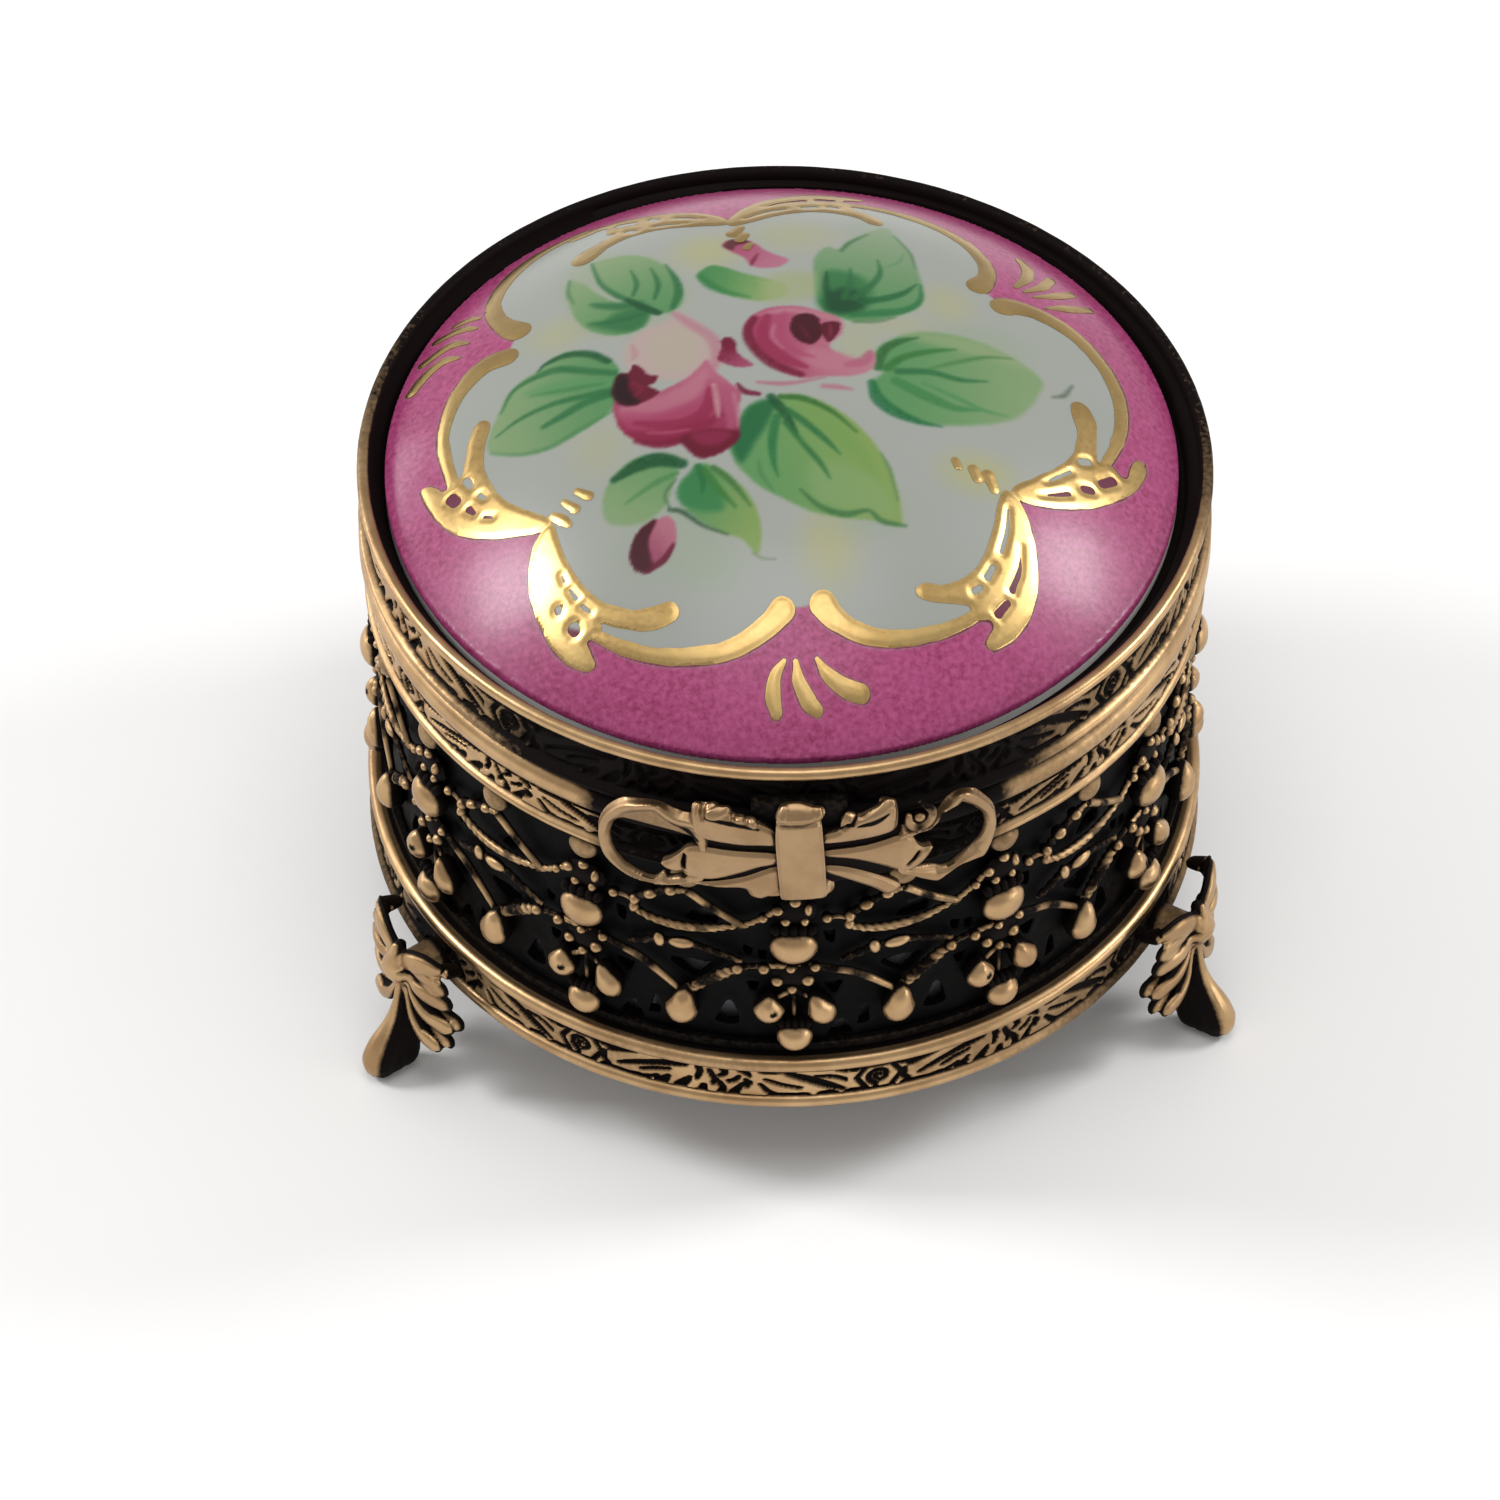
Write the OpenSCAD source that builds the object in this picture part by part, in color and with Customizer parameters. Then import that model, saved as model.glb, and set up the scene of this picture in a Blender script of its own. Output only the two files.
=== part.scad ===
/* [Jar] */
// Outer diameter of the base band, the collar and the lid bezel
ring_d = 64; // [56:1:72]
// Height of the base band's underside above the table
foot_h = 9; // [7:0.5:12]
// Height of the chased base band
base_band_h = 5.4; // [5:0.1:7]
// Height of the pierced wall between the base band and the collar
wall_h = 20.3; // [20:0.1:24]
// Height of the chased collar that closes the top of the jar
collar_h = 6; // [5.5:0.1:6.5]
// Radial thickness of the pierced wall
wall_t = 0.8; // [0.6:0.1:1]
// Wall and floor thickness of the powder cup
cup_t = 0.8; // [0.6:0.1:1.2]

/* [Lid] */
// Height of the chased lid bezel
bezel_h = 5.5; // [5:0.1:6]
// Height of the porcelain dome above the bezel's rim
dome_rise = 9.1; // [7:0.1:12]
// Thickness of the porcelain
dome_t = 2.4; // [1.8:0.1:3]
// Power of the dome's profile: 2 is a parabola, more is flatter on top
dome_power = 2.6; // [2:0.1:3.2]

/* [Bow clasp] */
// Half of the bow's width along the collar
bow_reach = 16; // [13:0.1:17]
// Height of the bow's loops
bow_h = 9.2; // [7:0.1:10]
// Width of the knot strap
knot_w = 3.3; // [2.6:0.1:4]

/* [Filigree] */
// Number of berry clusters round the wall
unit_count = 12; // [10:1:14]
// Radius of a wire of the garlands
wire_r = 0.38; // [0.3:0.02:0.45]

/* [Feet] */
// Distance from the jar's axis to the middle of a toe's sole
toe_r = 37.3; // [36:0.1:38.5]
// Turn of the three feet about the jar's axis, away from the bow
feet_turn = 2; // [0:0.5:4]

/* [Hinge] */
// Radius of the hinge knuckles
knuckle_r = 1.15; // [1:0.05:1.2]
// Radius of the hinge pin
pin_r = 0.45; // [0.35:0.05:0.5]
// Radial running clearance between the pin and the lid's knuckles
pin_gap = 0.05; // [0.03:0.01:0.08]

/* [Hidden] */
$fn = 64;
brass = [0.72, 0.58, 0.38];
dark_brass = [0.42, 0.33, 0.22];
liner_grey = [0.22, 0.21, 0.22];
porcelain = [0.72, 0.34, 0.58];

ring_r = ring_d / 2;
gap = 0.3;
parting_gap = 0.2;
band_wall = 2.8;
band_in_r = ring_r - band_wall;
chase_depth = 0.5;

base_z = foot_h;
wall_z = base_z + base_band_h;
collar_z = wall_z + wall_h;
parting_z = collar_z + collar_h;
bezel_z = parting_z + parting_gap;
rim_z = bezel_z + bezel_h;

wall_r = ring_r - 1.8;
plate_t = 0.8;
plate_z = base_z + 0.4;
foot_ring_h = 0.8;
foot_ring_t = 0.5;

lip_depth = 1.3;
lip_t = 0.65;
collar_in_r = ring_r - 3.3;
lip_r = collar_in_r - gap;
cup_r = collar_in_r - 0.1;
cup_z = plate_z + plate_t;
cup_top = parting_z - lip_depth - gap;

ledge_z = bezel_z + 2.2;
ledge_t = 0.8;
dome_r = ring_r - 2.4;
dome_in_r = dome_r - dome_t;
dome_edge = -1;
dome_seat_z = ledge_z + ledge_t;
dome_steps = 24;
keeper_t = 0.7;

pivot_y = ring_r + 1.6;
pivot_z = parting_z + parting_gap / 2;
knuckle_l = 2.3;
knuckle_pitch = 2.6;
hinge_w = 4 * knuckle_pitch + knuckle_l;
leaf_t = 0.6;
leaf_h = 3.6;
pin_head_t = 0.4;
pin_head_r = 0.7;

bow_in_r = ring_r + 0.5;
bow_t = 1.2;
knot_t = 1.6;
knot_h = 9.2;
bow_z = parting_z - 2.1;
knot_z = bow_z + 0.9;
strap_t = 1.5;
tongue_w = 7;

unit_angle = 360 / unit_count;
front = 270;
toe_tip = 1.2;
sole_r = 0.9;
foot_angles = [210 + feet_turn, 330 + feet_turn, 90 + feet_turn];

// The origin is under the middle of the whole object: the rear toe reaches
// further from the jar's axis than the front of the bow does, and the turned
// feet reach further to the right than to the left.
bow_front_r = bow_in_r + knot_t;
toe_out_r = toe_r + toe_tip;
axis_x = -toe_out_r * (cos(foot_angles[0]) + cos(foot_angles[1])) / 2;
axis_y = (bow_front_r - toe_out_r) / 2;

// Everything is drawn round the jar's own axis and then set on the origin.
module on_axis() {
    translate([axis_x, axis_y, 0]) children();
}

// Children drawn at +X, radius included, are turned to an angle round the jar.
module round_jar(angle) {
    rotate([0, 0, angle]) children();
}

// A ring of rectangular section.
module ring(r_in, r_out, z, h) {
    translate([0, 0, z])
        rotate_extrude()
            translate([r_in, 0]) square([r_out - r_in, h]);
}

// A band with a round bead along its lower and its upper edge.
module beaded_band(r_in, z, h, low_bead, top_bead) {
    translate([0, 0, z])
        rotate_extrude()
            union() {
                translate([r_in, 0]) square([ring_r - chase_depth - r_in, h]);
                translate([ring_r - low_bead, low_bead]) circle(low_bead);
                translate([ring_r - top_bead, h - top_bead]) circle(top_bead);
            }
}

// Part of a tube that follows the jar, as wide as the children are drawn.
// Children are a flat outline: x along the jar, y up from its foot.
module wrapped_front(r_in, t) {
    intersection() {
        rotate([90, 0, 0])
            linear_extrude(r_in + t + 1) children();
        ring(r_in, r_in + t, base_z, rim_z);
    }
}

// A round bar between two points given as [angle, height] on the wall.
module bar(from, to, r_at) {
    a = [r_at * cos(from[0]), r_at * sin(from[0]), from[1]];
    b = [r_at * cos(to[0]), r_at * sin(to[0]), to[1]];
    run = b - a;
    length = norm(run);
    translate(a)
        rotate([0, acos(run[2] / length), atan2(run[1], run[0])])
            translate([0, 0, -wire_r / 2])
                cylinder(r = wire_r, h = length + wire_r, $fn = 6);
}

// A ball on the wall.
module ball(angle, z, r, r_at) {
    round_jar(angle) translate([r_at, 0, z]) sphere(r);
}

// Heights of the ornament, as shares of the wall's own height.
function wall_at(share) = wall_z + share * wall_h;
pod_z = wall_at(0.93);
zig_top = wall_at(0.89);
floret_top_z = wall_at(0.76);
swag_z = wall_at(0.66);
bud_z = wall_at(0.62);
cross_top = wall_at(0.56);
floret_low_z = wall_at(0.43);
pendant_z = wall_at(0.34);
drop_pair_z = wall_at(0.29);
drop_low_z = wall_at(0.14);
drop_single_z = wall_at(0.27);

// ---- Jar ----

module base_band() {
    color(brass) on_axis()
        beaded_band(band_in_r, base_z, base_band_h, 0.65, 0.75);
}

module base_plate() {
    color(dark_brass) on_axis()
        translate([0, 0, plate_z]) cylinder(r = band_in_r, h = plate_t);
}

module liner_cup() {
    color(liner_grey) on_axis()
        translate([0, 0, cup_z])
            difference() {
                cylinder(r = cup_r, h = cup_top - cup_z);
                translate([0, 0, cup_t]) cylinder(r = cup_r - cup_t, h = cup_top);
            }
}

module wall_foot_ring() {
    color(brass) on_axis()
        ring(wall_r, wall_r + foot_ring_t, wall_z, foot_ring_h);
}

// A pointed window: x along the jar, y up.
module window(w, h) {
    polygon([
        [-w / 2, 0], [-w / 5, h / 2], [w / 5, h / 2],
        [w / 2, 0], [w / 5, -h / 2], [-w / 5, -h / 2]
    ]);
}

module window_cutter(angle, z, w, h) {
    round_jar(angle)
        translate([wall_r - wall_t - 1, 0, z])
            rotate([90, 0, 90])
                linear_extrude(wall_t + 2) window(w, h);
}

module filigree_wall() {
    color(dark_brass) on_axis()
        difference() {
            ring(wall_r - wall_t, wall_r, wall_z, wall_h);
            for (i = [0 : unit_count - 1], side = [-1, 1]) {
                middle = front + i * unit_angle;
                window_cutter(middle + side * unit_angle / 4, wall_at(0.16), 3, 3);
                window_cutter(middle + side * unit_angle / 4, wall_at(0.44), 3.4, 1.8);
                window_cutter(middle + side * unit_angle / 4, wall_at(0.72), 2.8, 1.6);
            }
        }
}

module garland_wires() {
    color(brass) on_axis()
        for (i = [0 : unit_count - 1], side = [-1, 1]) {
            middle = front + i * unit_angle;
            beside = middle + side * unit_angle / 2;
            r_at = wall_r + wire_r;
            bar([middle, floret_top_z], [beside, zig_top], r_at);
            bar([middle, swag_z + 1], [beside, swag_z - 0.7], r_at);
        }
}

module lattice_wires() {
    color(brass) on_axis()
        for (i = [0 : unit_count - 1], side = [-1, 1]) {
            middle = front + i * unit_angle;
            beside = middle + side * unit_angle / 2;
            r_at = wall_r + wire_r;
            bar([middle, floret_low_z], [beside, cross_top], r_at);
            bar([middle, floret_low_z - 0.6], [beside, pendant_z], r_at);
        }
}

module leaf_pods() {
    color(brass) on_axis()
        for (i = [0 : 2 * unit_count - 1])
            ball(front + i * unit_angle / 2, pod_z, 1.2, wall_r + 0.6);
}

module rose_buds() {
    color(brass) on_axis()
        for (i = [0 : unit_count - 1])
            ball(front + i * unit_angle, bud_z, 1.55, wall_r + 0.7);
}

module florets() {
    color(brass) on_axis()
        for (i = [0 : unit_count - 1], z = [floret_top_z, floret_low_z])
            round_jar(front + i * unit_angle)
                translate([wall_r, 0, z])
                    rotate([0, 90, 0]) cylinder(r = 1.1, h = 1.4);
}

module berry_drops() {
    color(brass) on_axis()
        for (i = [0 : unit_count - 1]) {
            middle = front + i * unit_angle;
            drop_r = 1.2;
            for (side = [-1, 1])
                ball(middle + side * 3.5, drop_pair_z, drop_r, wall_r + 0.8);
            ball(middle, drop_low_z, drop_r + 0.3, wall_r + 0.8);
            ball(middle + unit_angle / 2, drop_single_z, drop_r, wall_r + 0.8);
        }
}

module collar_band() {
    color(brass) on_axis()
        beaded_band(collar_in_r, collar_z, collar_h, 0.4, 0.95);
}

module catch_stud() {
    color(brass) on_axis()
        round_jar(front)
            translate([ring_r - chase_depth, 0, parting_z - 3.2])
                rotate([0, 90, 0]) cylinder(r = 0.8, h = chase_depth + 0.2);
}

// Every other knuckle is the jar's, starting with the two ends.
function knuckle_x(i) = (i - 2) * knuckle_pitch;

module knuckles(first, bore_r) {
    for (i = [first : 2 : 4])
        translate([knuckle_x(i) - knuckle_l / 2, pivot_y, pivot_z])
            rotate([0, 90, 0])
                difference() {
                    cylinder(r = knuckle_r, h = knuckle_l);
                    translate([0, 0, -1]) cylinder(r = bore_r, h = knuckle_l + 2);
                }
}

// A curved leaf on the back of a band, tabs that carry its own knuckles, and
// room for the other leaf's knuckles.
module hinge_leaf(z, first, other_first, bore_r) {
    tab_y = ring_r - 0.2;
    knuckles(first, bore_r);
    difference() {
        union() {
            intersection() {
                ring(ring_r - 0.1, ring_r + leaf_t, z, leaf_h);
                translate([-hinge_w / 2, 0, z]) cube([hinge_w, ring_d, leaf_h]);
            }
            for (i = [first : 2 : 4])
                translate([knuckle_x(i) - knuckle_l / 2, tab_y, max(z, pivot_z - 0.7)])
                    cube([knuckle_l, pivot_y - tab_y - knuckle_r + 0.3, 0.6]);
        }
        for (i = [other_first : 2 : 4])
            translate([knuckle_x(i) - knuckle_l / 2 - 0.25, pivot_y, pivot_z])
                rotate([0, 90, 0]) cylinder(r = knuckle_r + gap, h = knuckle_l + 0.5);
        translate([-hinge_w, pivot_y, pivot_z])
            rotate([0, 90, 0]) cylinder(r = bore_r, h = 2 * hinge_w);
    }
}

module hinge_leaf_jar() {
    color(brass) on_axis()
        hinge_leaf(parting_z - leaf_h - 0.1, 0, 1, pin_r + 0.01);
}

module hinge_leaf_lid() {
    color(brass) on_axis()
        hinge_leaf(bezel_z + 0.1, 1, 0, pin_r + pin_gap);
}

module hinge_pin() {
    color(brass) on_axis()
        translate([-hinge_w / 2, pivot_y, pivot_z])
            rotate([0, 90, 0]) {
                cylinder(r = pin_r, h = hinge_w);
                translate([0, 0, -pin_head_t]) cylinder(r = pin_head_r, h = pin_head_t);
                translate([0, 0, hinge_w]) cylinder(r = pin_head_r, h = pin_head_t);
            }
}

// A lobe, petal or leg: two balls joined by a hull, placed as [across, out, up].
module limb(a, r_a, b, r_b) {
    hull() {
        translate([a[1], a[0], a[2]]) sphere(r_a, $fn = 24);
        translate([b[1], b[0], b[2]]) sphere(r_b, $fn = 24);
    }
}

// A cast foot: a curled leaf on the band, a boss, a fan of petals and a toe.
module foot(angle) {
    color(brass) on_axis()
        round_jar(angle)
            difference() {
                union() {
                    translate([ring_r - chase_depth, -2, base_z + 0.6]) cube([2.2, 4, 2.4]);
                    for (side = [-1, 1]) {
                        limb([side * 3.6, 33.9, base_z + 4.4], 1, [side * 0.8, 33.4, base_z - 0.6], 1);
                        limb([0, 33.9, base_z - 2.4], 0.9, [side * 5.2, 34.3, base_z - 4.4], 0.9);
                        limb([0, 33.9, base_z - 3], 0.8, [side * 3.4, 34.9, base_z - 6.6], 0.8);
                    }
                    translate([33.9, 0, base_z - 1.8]) sphere(1.8);
                    limb([0, 34.1, base_z - 3], 1.2, [0, toe_r - 0.2, 1.3], 1.4);
                    translate([toe_r - 0.3, 0, 0]) cylinder(r = sole_r, h = 1);
                }
                translate([0, 0, -10]) cylinder(r = 2 * ring_d, h = 10);
            }
}

module foot_left() {
    foot(foot_angles[0]);
}

module foot_right() {
    foot(foot_angles[1]);
}

module foot_rear() {
    foot(foot_angles[2]);
}

// ---- Lid ----

module lid_bezel() {
    color(brass) on_axis() {
        beaded_band(dome_r + 0.6, bezel_z, bezel_h, 0.45, 0.75);
        ring(dome_in_r - keeper_t, dome_r + 0.7, ledge_z, ledge_t);
    }
}

// Height of the porcelain's outer face over the bezel's rim, at a distance from the axis.
function dome_at(r) = dome_edge + (dome_rise - dome_edge) * (1 - pow(r / dome_r, dome_power));

module porcelain_dome() {
    outside = [for (i = [0 : dome_steps]) let (r = dome_r * i / dome_steps) [r, rim_z + dome_at(r)]];
    inside = [for (i = [dome_steps : -1 : 0]) let (r = dome_in_r * i / dome_steps) [r, rim_z + dome_at(r) - dome_t]];
    color(porcelain) on_axis()
        rotate_extrude()
            polygon(concat(outside, [[dome_r, dome_seat_z], [dome_in_r, dome_seat_z]], inside));
}

module dome_keeper() {
    color(brass) on_axis()
        ring(dome_in_r - keeper_t, dome_in_r - 0.05, dome_seat_z, 1.5 * keeper_t);
}

module lid_lip() {
    color(brass) on_axis()
        ring(lip_r - lip_t, lip_r, parting_z - lip_depth, ledge_z - parting_z + lip_depth);
}

module clasp_tongue() {
    color(brass) on_axis()
        wrapped_front(ring_r - chase_depth, bow_in_r - ring_r + chase_depth)
            translate([-tongue_w / 2, bezel_z + 0.2])
                square([tongue_w, knot_z + knot_h / 2 - bezel_z - 0.5]);
}

// Outline of one loop of the bow, from the knot out.
module loop_outline(inset) {
    hull() {
        translate([bow_reach - bow_h / 2.3, bow_z - 0.4]) circle(bow_h / 2.3 - inset, $fn = 40);
        translate([4.4, bow_z + 0.2]) circle(bow_h / 3 - inset, $fn = 32);
    }
}

module bow_loops() {
    color(brass) on_axis()
        wrapped_front(bow_in_r, bow_t)
            for (side = [0, 1])
                mirror([side, 0])
                    difference() {
                        loop_outline(0);
                        loop_outline(strap_t);
                    }
}

// Three pleats a side, fanning out from the knot.
module bow_leaves() {
    color(brass) on_axis()
        wrapped_front(bow_in_r, bow_t - 0.2)
            for (side = [0, 1])
                mirror([side, 0])
                    polygon([
                        [0.5, bow_z - 1.2], [4, bow_z - 3.6], [6.6, bow_z - 3.4],
                        [6.2, bow_z - 1.8], [9.4, bow_z], [6.6, bow_z + 1.8],
                        [8.6, bow_z + 3.4], [4.6, bow_z + 4], [0.5, bow_z + 1.4]
                    ]);
}

module bow_knot() {
    color(brass) on_axis()
        wrapped_front(bow_in_r, knot_t)
            translate([-knot_w / 2, knot_z - knot_h / 2]) square([knot_w, knot_h]);
}

base_band();
base_plate();
liner_cup();
wall_foot_ring();
filigree_wall();
garland_wires();
lattice_wires();
leaf_pods();
rose_buds();
florets();
berry_drops();
collar_band();
catch_stud();
hinge_leaf_jar();
hinge_pin();
foot_left();
foot_right();
foot_rear();
lid_bezel();
porcelain_dome();
dome_keeper();
lid_lip();
clasp_tongue();
bow_loops();
bow_leaves();
bow_knot();
hinge_leaf_lid();
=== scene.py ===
"""Looks of the powder jar: antiqued brass, pierced filigree, a bow clasp and a
painted porcelain lid. Shapes are worked out in millimetres round the jar's own
axis, with heights measured from the underside of the base band."""

import math

import bpy
import numpy as np
from mathutils import Matrix, Vector


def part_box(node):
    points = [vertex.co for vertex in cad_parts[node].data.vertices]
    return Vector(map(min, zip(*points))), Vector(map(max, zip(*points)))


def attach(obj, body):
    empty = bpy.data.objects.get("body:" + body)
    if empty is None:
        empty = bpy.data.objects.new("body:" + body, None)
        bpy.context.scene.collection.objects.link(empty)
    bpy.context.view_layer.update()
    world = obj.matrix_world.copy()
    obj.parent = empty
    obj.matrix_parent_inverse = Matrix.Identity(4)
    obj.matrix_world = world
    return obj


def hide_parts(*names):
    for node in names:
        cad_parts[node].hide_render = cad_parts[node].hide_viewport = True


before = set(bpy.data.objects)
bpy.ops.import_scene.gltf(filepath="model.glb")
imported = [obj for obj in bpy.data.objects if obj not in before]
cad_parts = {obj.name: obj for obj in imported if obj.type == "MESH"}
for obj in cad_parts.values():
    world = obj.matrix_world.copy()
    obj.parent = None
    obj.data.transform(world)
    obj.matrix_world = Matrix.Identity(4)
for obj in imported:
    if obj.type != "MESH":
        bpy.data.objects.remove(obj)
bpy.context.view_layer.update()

MM = 0.001
FRONT = 270.0


# ---- Places taken from the frame ------------------------------------------

def low_high(node):
    low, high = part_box(node)
    return np.array(low) / MM, np.array(high) / MM


cup_low, cup_high = low_high("liner_cup")
AXIS = np.array([(cup_low[0] + cup_high[0]) / 2, (cup_low[1] + cup_high[1]) / 2, 0.0])
BASE = low_high("base_band")[0][2]
WALL_LOW, WALL_HIGH = (v[2] - BASE for v in low_high("filigree_wall"))
COLLAR_HIGH = low_high("collar_band")[1][2] - BASE
BEZEL_LOW, BEZEL_HIGH = (v[2] - BASE for v in low_high("lid_bezel"))
DOME_LOW, DOME_TOP = (v[2] - BASE for v in low_high("porcelain_dome"))
RING_R = (low_high("lid_bezel")[1][0] - low_high("lid_bezel")[0][0]) / 2
WALL_R = (low_high("filigree_wall")[1][0] - low_high("filigree_wall")[0][0]) / 2
DOME_R = (low_high("porcelain_dome")[1][0] - low_high("porcelain_dome")[0][0]) / 2


def to_world(points):
    """Jar millimetres, heights from the base band's underside, to metres."""
    out = np.array(points, float) + AXIS
    out[:, 2] += BASE
    return out * MM


# ---- Small maths -----------------------------------------------------------

def smoothstep(low, high, x):
    t = np.clip((np.asarray(x, float) - low) / (high - low), 0, 1)
    return t * t * (3 - 2 * t)


def curve(points, per=8, closed=False):
    """Catmull-Rom curve through the points, any number of columns."""
    p = np.array(points, float)
    if closed:
        p = np.vstack([p[-1], p, p[0], p[1]])
    else:
        p = np.vstack([2 * p[0] - p[1], p, 2 * p[-1] - p[-2]])
    t = np.linspace(0, 1, per, endpoint=False)[:, None]
    parts = []
    for a, b, c, d in zip(p[:-3], p[1:-2], p[2:-1], p[3:]):
        parts.append(0.5 * (2 * b + (c - a) * t + (2 * a - 5 * b + 4 * c - d) * t ** 2
                            + (3 * b - a - 3 * c + d) * t ** 3))
    out = np.vstack(parts)
    return out if closed else np.vstack([out, p[-2]])


def polyline_distance(x, y, path):
    """Distance from each (x, y) to an open path, and where along it, 0 to 1."""
    best = np.full(x.shape, 1e9)
    where = np.zeros(x.shape)
    steps = np.hypot(*np.diff(path[:, :2], axis=0).T)
    run = np.concatenate([[0], np.cumsum(steps)])
    total = max(run[-1], 1e-9)
    for k in range(len(path) - 1):
        ax, ay = path[k, :2]
        bx, by = path[k + 1, :2]
        dx, dy = bx - ax, by - ay
        length2 = max(dx * dx + dy * dy, 1e-12)
        t = np.clip(((x - ax) * dx + (y - ay) * dy) / length2, 0, 1)
        d = np.hypot(x - ax - t * dx, y - ay - t * dy)
        closer = d < best
        best = np.where(closer, d, best)
        where = np.where(closer, (run[k] + t * steps[k]) / total, where)
    return best, where


def stroke_field(x, y, path):
    """Signed distance into a tapering stroke; path rows are x, y, half width."""
    path = np.array(path, float)
    d, t = polyline_distance(x, y, path)
    run = np.concatenate([[0], np.cumsum(np.hypot(*np.diff(path[:, :2], axis=0).T))])
    return np.interp(t, run / max(run[-1], 1e-9), path[:, 2]) - d


def polygon_field(x, y, outline):
    """Signed distance into a closed outline, positive inside."""
    p = np.array(outline, float)
    q = np.roll(p, -1, axis=0)
    best = np.full(x.shape, 1e9)
    inside = np.zeros(x.shape, bool)
    for (ax, ay), (bx, by) in zip(p, q):
        dx, dy = bx - ax, by - ay
        t = np.clip(((x - ax) * dx + (y - ay) * dy) / max(dx * dx + dy * dy, 1e-12), 0, 1)
        best = np.minimum(best, np.hypot(x - ax - t * dx, y - ay - t * dy))
        crosses = (ay > y) != (by > y)
        if crosses.any() and abs(dy) > 1e-12:
            inside ^= crosses & (x < ax + (y - ay) * dx / dy)
    return np.where(inside, best, -best)


def value_noise(x, y, cell, seed):
    """Smooth random field between 0 and 1 with features of one cell."""
    table = np.random.default_rng(seed).random((128, 128))
    u, v = x / cell, y / cell
    i, j = np.floor(u).astype(int), np.floor(v).astype(int)
    fu, fv = u - i, v - j
    fu, fv = fu * fu * (3 - 2 * fu), fv * fv * (3 - 2 * fv)
    a, b = table[i % 128, j % 128], table[(i + 1) % 128, j % 128]
    c, d = table[i % 128, (j + 1) % 128], table[(i + 1) % 128, (j + 1) % 128]
    return (a * (1 - fu) + b * fu) * (1 - fv) + (c * (1 - fu) + d * fu) * fv


# ---- Mesh building ---------------------------------------------------------

class Pile:
    """Points and faces gathered into one mesh. Mark is 0 on polished metal and
    1 in the black recesses; on the bands, feet and bow it also carries painted shade."""

    def __init__(self):
        self.points, self.quads, self.tris, self.marks = [], [], [], []
        self.count = 0

    def add(self, points, quads=(), tris=(), mark=0.0):
        points = np.asarray(points, float)
        self.points.append(points)
        if len(quads):
            self.quads.append(np.asarray(quads) + self.count)
        if len(tris):
            self.tris.append(np.asarray(tris) + self.count)
        self.marks.append(np.broadcast_to(mark, len(points)).astype(float))
        self.count += len(points)

    def piece(self, name, body, slot, material, replaces=(), sharp=55):
        points = to_world(np.vstack(self.points))
        quads = np.vstack(self.quads) if self.quads else np.zeros((0, 4), int)
        tris = np.vstack(self.tris) if self.tris else np.zeros((0, 3), int)
        mesh = bpy.data.meshes.new(name)
        mesh.vertices.add(len(points))
        mesh.vertices.foreach_set("co", points.ravel())
        loops = np.concatenate([quads.ravel(), tris.ravel()]).astype(np.int32)
        starts = np.concatenate([np.arange(len(quads)) * 4, len(quads) * 4 + np.arange(len(tris)) * 3])
        mesh.loops.add(len(loops))
        mesh.loops.foreach_set("vertex_index", loops)
        mesh.polygons.add(len(starts))
        mesh.polygons.foreach_set("loop_start", starts.astype(np.int32))
        mesh.update(calc_edges=True)
        mesh.validate()
        mesh.polygons.foreach_set("use_smooth", np.ones(len(mesh.polygons), bool))
        mesh.set_sharp_from_angle(angle=math.radians(sharp))
        recess_and_shade = mesh.attributes.new("recess_and_shade", "FLOAT", "POINT")
        recess_and_shade.data.foreach_set("value", np.clip(np.concatenate(self.marks), 0, 1).astype(np.float32))
        obj = bpy.data.objects.new(name, mesh)
        bpy.context.scene.collection.objects.link(obj)
        mesh.materials.append(material)
        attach(obj, body)
        if replaces:
            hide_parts(*replaces)
        return obj


def ring_quads(rows, cols, closed):
    """Faces of a grid that wraps round the jar and, if closed, round its section."""
    i, j = np.mgrid[0:rows if closed else rows - 1, 0:cols]
    up, on = (i + 1) % rows, (j + 1) % cols
    return np.stack([i * cols + j, i * cols + on, up * cols + on, up * cols + j], -1).reshape(-1, 4)


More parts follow.
